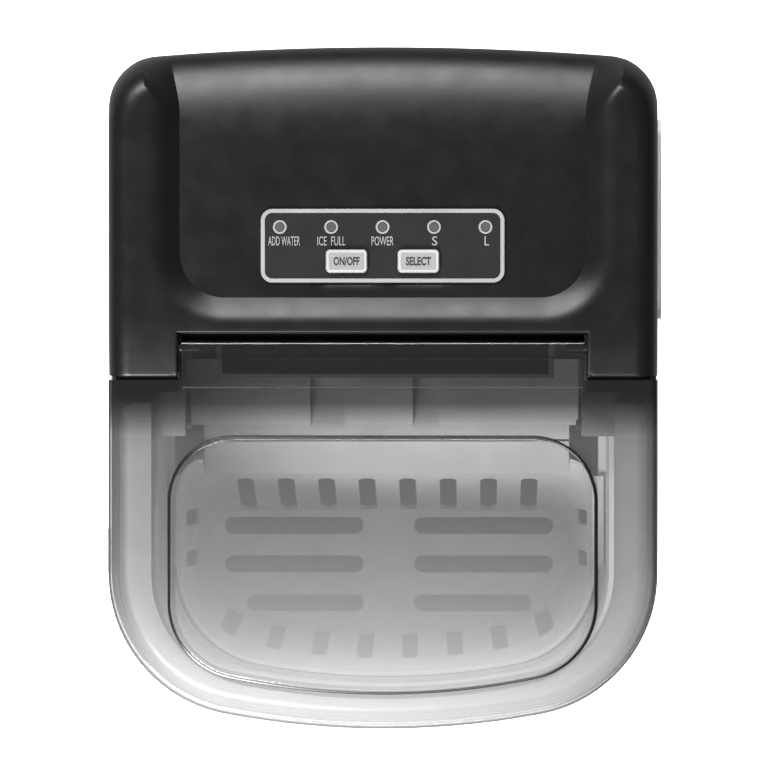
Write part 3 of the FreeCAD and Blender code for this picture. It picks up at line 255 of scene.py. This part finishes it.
def arc(cx, cy, radius, first, last, step):
    """Points on an arc between two angles in degrees, about step apart."""
    count = max(2, math.ceil(radius * abs(math.radians(last - first)) / step))
    turns = [math.radians(first + (last - first) * n / count) for n in range(count + 1)]
    return [(cx + radius * math.cos(t), cy + radius * math.sin(t)) for t in turns]


def straight(start, end, step):
    count = max(1, math.ceil(math.dist(start, end) / step))
    return [tuple(a + (b - a) * n / count for a, b in zip(start, end)) for n in range(count + 1)]


def chain(*runs):
    """Join runs of points into one closed line without repeats."""
    points = []
    for run in runs:
        for point in run:
            if not points or math.dist(points[-1], point) > 1e-4:
                points.append(point)
    if math.dist(points[0], points[-1]) < 1e-4:
        points.pop()
    return points


# ---------------------------------------------------------------- the cabinet's outline

COVER_LOW, COVER_HIGH = span("top_cover")
HALF = COVER_HIGH.x
REAR = COVER_HIGH.y
TOP = COVER_HIGH.z
BOTTOM = COVER_LOW.z
REAR_CORNER = 22.4
REAR_ARC = 1300.0


def rear_outline(inset, front, step=2.0):
    """The cabinet's outline behind the distance front, moved inwards, from the right to the left."""
    half, corner, bow = HALF - inset, max(REAR_CORNER - inset, 0.5), REAR_ARC - inset
    back_x = half - corner
    tilt = math.degrees(math.asin(back_x / (bow - corner)))
    middle = REAR - inset - bow
    back_y = middle + math.sqrt((bow - corner) ** 2 - back_x ** 2)
    side = straight((half, front), (half, back_y), step)
    return chain(
        side,
        arc(back_x, back_y, corner, 0, 90 - tilt, step),
        arc(0, middle, bow, 90 - tilt, 90 + tilt, step),
        arc(-back_x, back_y, corner, 90 + tilt, 180, step),
        [(-x, y) for x, y in side[::-1]],
    )


def depth_inside(x, y):
    """How far a point is inside the cabinet's outline, behind the front corners."""
    back_x = HALF - REAR_CORNER
    tilt_reach = REAR_ARC - REAR_CORNER
    middle = REAR - REAR_ARC
    back_y = middle + math.sqrt(tilt_reach ** 2 - back_x ** 2)
    x = abs(x)
    if x > back_x and y > back_y:
        return REAR_CORNER - math.dist((x, y), (back_x, back_y))
    side, back = HALF - x, REAR_ARC - math.dist((x, y), (0, middle))
    nearer = min(side, back)
    blend = min(12.0, max(0.1, nearer - REAR_CORNER))
    return nearer - max(blend - abs(side - back), 0) ** 2 / (4 * blend)


# ---------------------------------------------------------------- black cover

SHOULDER = 4.4
SHOULDER_DROP = 4.0
SHOULDER_RUN = 31.6
LEDGE_FRONT = -2.0
LEDGE_TOP = 314.0
LEDGE_HALF = 117.5
LEDGE_REAR = 5.0
FLOOR = 316.0
NOTCH_HALF = 90.0
NOTCH_REAR = 23.9
DISH_HALF = 89.4
DISH_FLARE = 5.0
DISH_FRONT = 39.5
DISH_CORNER = 20.0
DISH_SLOPE = 13.0
BLEND = 1.6
REAR_REACH = 46.0
SCREW_X, SCREW_Y, SCREW_SINK = 111.3, -1.5, 3.6


def ease(value, start, end):
    """0 before start, 1 after end, smooth between."""
    t = min(1.0, max(0.0, (value - start) / (end - start)))
    return t * t * (3 - 2 * t)


def dish_half(y):
    return DISH_HALF + DISH_FLARE * ease(y, 120, 152)


def dish_distance(x, y):
    """Distance outside the console's floor, negative inside."""
    across = abs(x) - (dish_half(y) - DISH_CORNER)
    ahead = DISH_FRONT + DISH_CORNER - y
    outside = math.hypot(max(across, 0), max(ahead, 0))
    return outside + min(max(across, ahead), 0) - DISH_CORNER


def rounding(distance, reach, fall=None):
    """How far a rounded edge has dropped at a distance from it; it falls by reach if fall isn't given."""
    if distance >= reach:
        return 0.0
    share = (reach - distance) / reach
    return (reach if fall is None else fall) * (1 - math.sqrt(max(0.0, 1 - share ** 2)))


def cover_height(x, y):
    """Height of the cover's outer surface."""
    if y < SHOULDER - 0.02:
        return LEDGE_TOP - rounding(y - LEDGE_FRONT, 0.8) - rounding(depth_inside(x, y), 3)
    run = min(1.0, (y - SHOULDER) / SHOULDER_RUN)
    plateau = TOP - SHOULDER_DROP * (1 - run) ** 1.6
    rise = min(1.0, max(0.0, dish_distance(x, y) / DISH_SLOPE))
    dish = FLOOR + (TOP - FLOOR) * (1 - (1 - rise) ** 1.35)
    height = min(plateau, dish) - max(BLEND - abs(plateau - dish), 0) ** 2 / (4 * BLEND)
    outer = 10 + 12 * ease(y, 112, 146)
    reach = outer + (REAR_REACH - outer) * (1 - rise)
    height -= rounding(depth_inside(x, y), reach, min(reach, height - BOTTOM - 0.4))
    height -= rounding(y - SHOULDER, 1.4)
    across, ahead = abs(x) - NOTCH_HALF, y - NOTCH_REAR
    if across > 0 or ahead > 0:
        notch = math.hypot(max(across, 0), max(ahead, 0)) if across > 0 and ahead > 0 else max(across, ahead)
        height -= rounding(notch, 0.9)
    return max(height, BOTTOM + 0.3)


def console_holes():
    """Closed lines round the five lamps and the two keys, placed from the CAD lamp lenses and key caps."""
    holes = []
    for x in LAMPS:
        holes.append(arc(x, LAMP_Y, 2.1, 0, 360, 0.7)[:-1])
    for low, high in KEYS:
        holes.append(rounded_rectangle(low.x - 0.35, high.x + 0.35, low.y - 0.35, high.y + 0.35, 2.3, 0.8))
    return holes


def rounded_rectangle(x0, x1, y0, y1, radius, step):
    return chain(
        arc(x1 - radius, y0 + radius, radius, -90, 0, step),
        arc(x1 - radius, y1 - radius, radius, 0, 90, step),
        arc(x0 + radius, y1 - radius, radius, 90, 180, step),
        arc(x0 + radius, y0 + radius, radius, 180, 270, step),
    )


LENS_LOW, LENS_HIGH = span("lamp_lenses")
LAMP_Y = (LENS_LOW.y + LENS_HIGH.y) / 2
LAMP_PITCH = (LENS_HIGH.x - LENS_LOW.x - 3.8) / 4
LAMPS = [n * LAMP_PITCH for n in range(-2, 3)]


def key_cap(node):
    """A key's cap in plan: its node without the flange below the console."""
    low, high = span(node)
    return low + Vector((0.8, 0.8, 0)), high - Vector((0.8, 0.8, 0))


KEYS = [key_cap("on_off_button"), key_cap("select_button")]


def cover_boundary():
    """The cover's outline in plan: a notch for the lid's tab, a bite for each screw and, at the
    ends of the front ledge, room for the lid's skirt."""
    bite_angle = math.degrees(math.asin((SCREW_Y - LEDGE_FRONT) / SCREW_SINK))
    bite = arc(SCREW_X, SCREW_Y, SCREW_SINK, 180 + bite_angle, -bite_angle, 0.6)
    front = chain(
        straight((NOTCH_HALF, LEDGE_FRONT), bite[0], 2),
        bite,
        straight(bite[-1], (LEDGE_HALF, LEDGE_FRONT), 2),
        straight((LEDGE_HALF, LEDGE_FRONT), (LEDGE_HALF, LEDGE_REAR), 1.5),
        straight((LEDGE_HALF, LEDGE_REAR), (HALF, LEDGE_REAR), 1.5),
    )
    notch = straight((NOTCH_HALF, NOTCH_REAR), (NOTCH_HALF, LEDGE_FRONT), 2)
    back = straight((-NOTCH_HALF, NOTCH_REAR), (NOTCH_HALF, NOTCH_REAR), 2)
    left = [(-x, y) for x, y in chain(notch, front)[::-1]]
    return chain(notch, front, rear_outline(0, LEDGE_REAR), left, back)


def dish_line(distance, step=1.6):
    """A line at a distance outside the console's floor, from the left rear round the front."""
    radius = DISH_CORNER + distance
    corner_y = DISH_FRONT + DISH_CORNER
    corner_x = DISH_HALF - DISH_CORNER
    side = [(dish_half(y) + distance, y) for _, y in straight((0, corner_y), (0, 146), step)]
    left = [(-x, y) for x, y in side[::-1]]
    return chain(
        left,
        arc(-corner_x, corner_y, radius, 180, 270, step),
        straight((-corner_x, DISH_FRONT - distance), (corner_x, DISH_FRONT - distance), step),
        arc(corner_x, corner_y, radius, 270, 360, step),
        side,
    )


def make_cover():
    boundary = cover_boundary()
    holes = console_holes()
    points, edges = [], []

    def add_line(line, closed):
        start = len(points)
        points.extend(line)
        edges.extend((start + n, start + n + 1) for n in range(len(line) - 1))
        if closed:
            edges.append((len(points) - 1, start))

    def clear(x, y, margin):
        """Whether a point is on the cover and away from its edges."""
        if depth_inside(x, y) < margin or y < LEDGE_FRONT + margin:
            return False
        return not (abs(x) < NOTCH_HALF + margin and y < NOTCH_REAR + margin)

    add_line(boundary, True)
    for hole in holes:
        add_line(hole, True)
    for side in (-1, 1):
        for y in (SHOULDER - 0.05, SHOULDER):
            add_line([(side * x, y) for x, _ in straight((NOTCH_HALF + 0.02, 0), (HALF - 0.02, 0), 2)], False)
    insets = (0.12, 0.4, 0.9, 1.6, 2.5, 3.6, 5, 6.5, 8.2, 10, 12.5, *range(15, 46, 3))
    for inset in insets:
        ring = [(x, y) for x, y in rear_outline(inset, SHOULDER + 0.6) if clear(x, y, 0.05)]
        points.extend(ring)
    for distance in (-2.5, -0.8, 0.8, 1.6, 2.4, 3.3, 4.3, 5.4, 6.6, 7.9, 9.2, 10.6, 12, 13.4, 15, 17):
        points.extend(p for p in dish_line(distance) if clear(*p, 0.3) and p[1] > SHOULDER + 1)
    crease = [p for p in dish_line(0) if clear(*p, 0.3)]
    add_line(crease, False)
    for margin in (0.12, 0.3, 0.55, 0.95, 2):
        reach, back = NOTCH_HALF + margin, NOTCH_REAR + margin
        right = chain(
            straight((reach, SHOULDER + 0.1), (reach, NOTCH_REAR), 1.5),
            arc(NOTCH_HALF, NOTCH_REAR, margin, 0, 90, 0.3),
        )
        add_line(right + straight((NOTCH_HALF - 2, back), (2 - NOTCH_HALF, back), 2)
                 + [(-x, y) for x, y in right[::-1]], False)
    for offset in (0.12, 0.35, 0.7, 1.1, 1.5, 2.6):
        for side in (-1, 1):
            run = straight((NOTCH_HALF + 2.6, 0), (HALF - 3, 0), 1.5)
            add_line([(side * x, SHOULDER + offset) for x, _ in run], False)
    for row in range(2, 48):
        for column in range(-39, 40):
            x, y = column * 3.1, SHOULDER + row * 3.1
            if clear(x, y, 3) and abs(abs(dish_distance(x, y)) - 8) > 8.5:
                points.append((x, y))
    verts, _, faces, *_ = delaunay_2d_cdt([Vector(p) for p in points], edges, [], 0, 1e-5)

    def in_polygon(x, y, line):
        inside = False
        for (ax, ay), (bx, by) in zip(line, line[1:] + line[:1]):
            if (ay > y) != (by > y) and x < ax + (y - ay) * (bx - ax) / (by - ay):
                inside = not inside
        return inside

    kept = []
    for face in faces:
        centre = sum((verts[n] for n in face), Vector((0, 0))) / len(face)
        if in_polygon(*centre, boundary) and not any(in_polygon(*centre, hole) for hole in holes):
            kept.append(list(face))
    heights = [(v.x, v.y, cover_height(v.x, v.y)) for v in verts]
    sides = {}
    for face in kept:
        sides.update(dict.fromkeys(zip(face, face[1:] + face[:1])))
    outer = [(a, b) for (a, b) in sides if (b, a) not in sides]
    lows = {}
    for a, b in outer:
        if any(math.dist(verts[a], spot) < 14 for spot in ((x, LAMP_Y) for x in LAMPS)) or near_key(verts[a]):
            continue
        for n in (a, b):
            if n not in lows:
                lows[n] = len(heights)
                heights.append((verts[n].x, verts[n].y, BOTTOM))
        kept.append([b, a, lows[a], lows[b]])
    return heights, kept


def near_key(point):
    return any(low.x - 2 < point.x < high.x + 2 and low.y - 2 < point.y < high.y + 2 for low, high in KEYS)


def drop_loose(piece):
    """Delete points that no face uses."""
    shape = bmesh.new()
    shape.from_mesh(piece.data)
    bmesh.ops.delete(shape, geom=[v for v in shape.verts if not v.link_faces], context="VERTS")
    shape.to_mesh(piece.data)
    shape.free()


cover = add_piece("cover_shell", *make_cover(), LOOKS["black_cover"], "cabinet", "black_cover", crease=24)
drop_loose(cover)
shell = cover.modifiers.new("thickness", "SOLIDIFY")
shell.thickness = 2.0 * MM
shell.offset = -1
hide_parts("top_cover")


def disc(name, x, y, low, high, radius, look, body, slot, bevel=0.3, sides=40):
    """A short round boss with a bevelled top edge."""
    profile = [(0, low), (radius, low), (radius, high - bevel), (radius - bevel * 0.3, high - bevel * 0.3),
               (radius - bevel, high), (0, high)]
    verts, faces = [], []
    for r, z in profile[1:-1]:
        verts += [(px, py, z) for px, py in arc(x, y, r, 0, 360, 2 * math.pi * r / sides)[:sides]]
    rings = len(profile) - 2
    for k in range(rings - 1):
        for n in range(sides):
            a, b = k * sides + n, k * sides + (n + 1) % sides
            faces.append([a, b, b + sides, a + sides])
    faces.append(list(range(sides))[::-1])
    faces.append([(rings - 1) * sides + n for n in range(sides)])
    return add_piece(name, verts, faces, look, body, slot)


LUG_X, LUG_Y, LUG_LOW, LUG_TOP, LUG_RADIUS = 112.6, -3.6, 307.0, 311.2, 4.4
for side, label in ((-1, "left"), (1, "right")):
    disc(f"screw_lug_{label}", side * LUG_X, LUG_Y, LUG_LOW, LUG_TOP, LUG_RADIUS,
         LOOKS["black_cover"], "cabinet", "black_cover")


# ---------------------------------------------------------------- console print

FILM_LOW, FILM_HIGH = span("control_film")
PRINT_Z = FILM_HIGH.z + 0.02
PRINT_THICK = 0.06
RING_OUTER, RING_INNER = 3.0, 2.15


def band(name, outer, inner, low, high, look, body, slot):
    """A flat closed band between two lines with the same number of points."""
    count = len(outer)
    verts = [(*p, z) for z in (low, high) for line in (outer, inner) for p in line]
    faces = []
    for n in range(count):
        m = (n + 1) % count
        low_out, low_in, top_out, top_in = 0, count, 2 * count, 3 * count
        faces.append([top_out + n, top_out + m, top_in + m, top_in + n])
        faces.append([low_out + m, low_out + n, low_in + n, low_in + m])
        faces.append([low_out + n, low_out + m, top_out + m, top_out + n])
        faces.append([low_in + m, low_in + n, top_in + n, top_in + m])
    return add_piece(name, verts, faces, look, body, slot)


def border(name, x0, x1, y0, y1, radius, width, z, look, body, slot):
    """A flat line round a rounded rectangle: the film's printed border, and the lighter band round each key's
    rim.
    """
    outer = rounded_steps(x0, x1, y0, y1, radius)
    inner = rounded_steps(x0 + width, x1 - width, y0 + width, y1 - width, radius - width)
    return band(name, outer, inner, z, z + PRINT_THICK, look, body, slot)


def rounded_steps(x0, x1, y0, y1, radius, steps=8):
    """A rounded rectangle with a fixed number of points at each corner."""
    points = []
    for cx, cy, first in ((x1 - radius, y0 + radius, -90), (x1 - radius, y1 - radius, 0),
                          (x0 + radius, y1 - radius, 90), (x0 + radius, y0 + radius, 180)):
        for n in range(steps + 1):
            t = math.radians(first + 90 * n / steps)
            points.append((cx + radius * math.cos(t), cy + radius * math.sin(t)))
    return points


border("film_border", FILM_LOW.x + 0.3, FILM_HIGH.x - 0.3, FILM_LOW.y + 0.3, FILM_HIGH.y - 0.3, 5.0, 1.7,
       PRINT_Z, PRINT, "cabinet", "button_grey")
for n, x in enumerate(LAMPS):
    count = 40
    outer = arc(x, LAMP_Y, RING_OUTER, 0, 360, 2 * math.pi * RING_OUTER / count)[:count]
    inner = arc(x, LAMP_Y, RING_INNER, 0, 360, 2 * math.pi * RING_INNER / count)[:count]
    band(f"lamp_ring_{n + 1}", outer, inner, PRINT_Z, PRINT_Z + PRINT_THICK, PRINT, "cabinet", "button_grey")


def legend(name, words, x, y, z, wide, tall, look, body, bold=0.0):
    """Printed words, wide by tall millimetres round a point."""
    curve = bpy.data.curves.new(name, "FONT")
    curve.body = words
    curve.resolution_u = 3
    curve.extrude = 0.02
    curve.offset = bold
    holder = bpy.data.objects.new(name + "_text", curve)
    bpy.context.collection.objects.link(holder)
    bpy.context.view_layer.update()
    mesh = bpy.data.meshes.new_from_object(holder)
    bpy.data.objects.remove(holder)
    low = Vector([min(v.co[k] for v in mesh.vertices) for k in range(3)])
    high = Vector([max(v.co[k] for v in mesh.vertices) for k in range(3)])
    middle, extent = (low + high) / 2, high - low
    scale = Vector((wide / extent.x, tall / extent.y, PRINT_THICK / extent.z))
    for v in mesh.vertices:
        v.co = Vector((
            x + (v.co.x - middle.x) * scale.x,
            y + (v.co.y - middle.y) * scale.y,
            z + (v.co.z - low.z) * scale.z,
        )) * MM
    piece = bpy.data.objects.new(name, mesh)
    bpy.context.collection.objects.link(piece)
    mesh.materials.clear()
    mesh.materials.append(look)
    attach(piece, body)
    return piece


LEGEND_Y = LAMP_Y - 6.1
for name, words, x, wide in (
    ("legend_add_water", "ADD WATER", -43.3, 14), ("legend_ice_full", "ICE  FULL", -22.5, 12.3),
    ("legend_power", "POWER", 0, 9.7), ("legend_small", "S", 22.9, 2.3), ("legend_large", "L", 45.8, 2.0),
):
    legend(name, words, x, LEGEND_Y, PRINT_Z, wide, 4.0, PRINT, "cabinet")
for name, words, (low, high), wide, body in (
    ("legend_on_off", "ON/OFF", KEYS[0], 11.5, "on_off_button"),
    ("legend_select", "SELECT", KEYS[1], 11, "select_button"),
):
    middle = (low + high) / 2
    legend(name, words, middle.x, middle.y, high.z + 0.02, wide, 3.8, INK, body, bold=0.03)
    # A lighter band round each key's rim.
    border(body + "_edge", low.x + 0.5, high.x - 0.5, low.y + 0.5, high.y - 0.5, 1.6, 0.9, high.z - 0.03,
           KEY_EDGE, body, "button_grey")


# ---------------------------------------------------------------- lid details

LID_TOP = 317.5
FOLD_HALF, FOLD_WIDTH = 88.0, 0.6
APRON_HALF, APRON_FRONT, APRON_REAR = 89.0, 19.5, 24.6
APRON_LOW, APRON_TOP = 304.8, 306.2
# half-width, front and rear y, and the radii of the bowed front, the front corners and the rear corners
WINDOW = (93.5, -134, -22.2, 330, 33, 28)
# the bead's section: how far outside the window's outline and above the lid each corner is
BEAD = ((-0.4, -0.3), (1.1, -0.3), (1.1, 0.2), (0.8, 0.65), (0.2, 0.85), (-0.4, 0.6))


def bow_line(half, front, rear, front_arc, front_corner, rear_corner, out):
    """The window's outline moved outwards by out, always with the same number of points."""
    half, front, rear = half + out, front - out, rear + out
    front_arc, front_corner, rear_corner = front_arc + out, front_corner + out, rear_corner + out
    corner_x, reach = half - front_corner, front_arc - front_corner
    lean = math.degrees(math.asin(corner_x / reach))
    front_y = front + front_arc
    corner_y = front_y - math.sqrt(reach ** 2 - corner_x ** 2)
    back_x, back_y = half - rear_corner, rear - rear_corner

    def even_arc(cx, cy, radius, first, last, count=28):
        turns = [math.radians(first + (last - first) * n / count) for n in range(count)]
        return [(cx + radius * math.cos(t), cy + radius * math.sin(t)) for t in turns]

    def even_line(start, end, count=12):
        return [tuple(a + (b - a) * n / count for a, b in zip(start, end)) for n in range(count)]

    return (
        even_arc(0, front_y, front_arc, -90 - lean, -90 + lean)
        + even_arc(corner_x, corner_y, front_corner, -90 + lean, 0)
        + even_line((half, corner_y), (half, back_y))
        + even_arc(back_x, back_y, rear_corner, 0, 90)
        + even_line((back_x, rear), (-back_x, rear))
        + even_arc(-back_x, back_y, rear_corner, 90, 180)
        + even_line((-half, back_y), (-half, corner_y))
        + even_arc(-corner_x, corner_y, front_corner, 180, 270 - lean)
    )


def closed_tube(name, loops, look, body, slot):
    """A ring whose cross-section's corners are closed loops of points, given in order round it."""
    count = len(loops[0])
    verts = [point for loop in loops for point in loop]
    faces = []
    for k in range(len(loops)):
        for n in range(count):
            m, up = (n + 1) % count, (k + 1) % len(loops)
            faces.append([k * count + n, k * count + m, up * count + m, up * count + n])
    return add_piece(name, verts, faces, look, body, slot)


def slab(name, x0, x1, y0, y1, z0, z1, look, body, slot):
    """A plain block between two corners."""
    corners = [(x, y, z) for z in (z0, z1) for x, y in ((x0, y0), (x1, y0), (x1, y1), (x0, y1))]
    sides = [[n, (n + 1) % 4, (n + 1) % 4 + 4, n + 4] for n in range(4)]
    return add_piece(name, corners, [[3, 2, 1, 0], [4, 5, 6, 7], *sides], look, body, slot)


slab("tab_fold", -FOLD_HALF, FOLD_HALF, -FOLD_WIDTH / 2, FOLD_WIDTH / 2, LID_TOP - 0.1, LID_TOP + 0.25,
     surface("fold_grey", grey(0.035), 0.3, grain=0.6, depth=0.003), "lid", "smoke_lid")
# A black lip of the cover under the notch's gap, also put there as painted shade: it darkens the pale parts
# that would show through the gap.
slab("notch_shade_apron", -APRON_HALF, APRON_HALF, APRON_FRONT, APRON_REAR, APRON_LOW, APRON_TOP,
     LOOKS["black_cover"], "cabinet", "black_cover")
bead_loops = [[(x, y, LID_TOP + rise) for x, y in bow_line(*WINDOW, out)] for out, rise in BEAD]
BEAD_LOOK = surface("window_bead", grey(0.006), 0.22, grain=0.6, depth=0.002)
closed_tube("window_bead", bead_loops, BEAD_LOOK, "lid", "smoke_lid")


# ---------------------------------------------------------------- floor, light and camera

FLOOR_MIRRORED = grey(0.30)


def make_floor():
    """A plain pale floor, kept dim in what the object mirrors so that its edges stay dark."""
    mesh = bpy.data.meshes.new("floor")
    reach = 6
    mesh.from_pydata([(-reach, -reach, 0), (reach, -reach, 0), (reach, reach, 0), (-reach, reach, 0)], [],
                     [(0, 1, 2, 3)])
    floor = bpy.data.objects.new("floor", mesh)
    bpy.context.collection.objects.link(floor)
    look = surface("floor_pale", grey(0.9), 0.9, grain=4, depth=0.02, mottle=0.01, patch=300, specular=0.1)
    tree = look.node_tree
    shader = tree.nodes["Principled BSDF"]
    shader.inputs["Emission Color"].default_value = (1, 1, 1, 1)
    shader.inputs["Emission Strength"].default_value = 0.9
    dim = tree.nodes.new("ShaderNodeBsdfDiffuse")
    dim.inputs["Color"].default_value = (*FLOOR_MIRRORED, 1)
    path = tree.nodes.new("ShaderNodeLightPath")
    mix = tree.nodes.new("ShaderNodeMixShader")
    tree.links.new(path.outputs["Is Camera Ray"], mix.inputs["Fac"])
    tree.links.new(dim.outputs["BSDF"], mix.inputs[1])
    tree.links.new(shader.outputs["BSDF"], mix.inputs[2])
    output = next(node for node in tree.nodes if node.type == "OUTPUT_MATERIAL")
    tree.links.new(mix.outputs["Shader"], output.inputs["Surface"])
    mesh.materials.append(look)


def area_light(name, place, aim, wide, tall, power):
    """A soft box at a place in metres, turned towards aim."""
    lamp = bpy.data.lights.new(name, "AREA")
    lamp.shape = "RECTANGLE"
    lamp.size, lamp.size_y = wide, tall
    lamp.energy = power
    holder = bpy.data.objects.new(name, lamp)
    bpy.context.collection.objects.link(holder)
    holder.location = place
    holder.rotation_euler = (Vector(aim) - Vector(place)).to_track_quat("-Z", "Y").to_euler()


make_floor()
area_light("rear_softbox", (-0.45, 1.55, 1.6), (0, 0.05, 0.3), 1.8, 0.8, 86)
area_light("front_softbox", (-0.42, -0.76, 1.0), (0, -0.08, 0.3), 0.5, 0.4, 30)
area_light("top_softbox", (0.0, -2.0, 2.4), (0, 0, 0.3), 1.4, 1.0, 18)

world = bpy.data.worlds.new("studio")
bpy.context.scene.world = world
world.use_nodes = True
sky = world.node_tree
dim_sky = sky.nodes["Background"]
dim_sky.inputs["Color"].default_value = (1, 1, 1, 1)
dim_sky.inputs["Strength"].default_value = 0.14
pale_sky = sky.nodes.new("ShaderNodeBackground")
pale_sky.inputs["Color"].default_value = (1, 1, 1, 1)
pale_sky.inputs["Strength"].default_value = 1.0
sky_path = sky.nodes.new("ShaderNodeLightPath")
sky_mix = sky.nodes.new("ShaderNodeMixShader")
sky.links.new(sky_path.outputs["Is Camera Ray"], sky_mix.inputs["Fac"])
sky.links.new(dim_sky.outputs["Background"], sky_mix.inputs[1])
sky.links.new(pale_sky.outputs["Background"], sky_mix.inputs[2])
sky.links.new(sky_mix.outputs["Shader"], sky.nodes["World Output"].inputs["Surface"])

camera = bpy.data.objects.new("camera", bpy.data.cameras.new("camera"))
bpy.context.collection.objects.link(camera)
CAMERA_PLACE = Vector((0.040, 0.036, 2.518))
CAMERA_AIM = Vector((0, 0.0022, 0.318))
ahead = (CAMERA_AIM - CAMERA_PLACE).normalized()
right = ahead.cross(Vector((0, 1, 0))).normalized()
up = right.cross(ahead)
turn = Matrix((right, up, -ahead)).transposed()
camera.matrix_world = Matrix.Translation(CAMERA_PLACE) @ turn.to_4x4()
camera.data.sensor_width = 36
camera.data.lens = 235.7
camera.data.clip_start, camera.data.clip_end = 0.1, 30
bpy.context.scene.camera = camera
bpy.context.scene.view_settings.view_transform = "Standard"
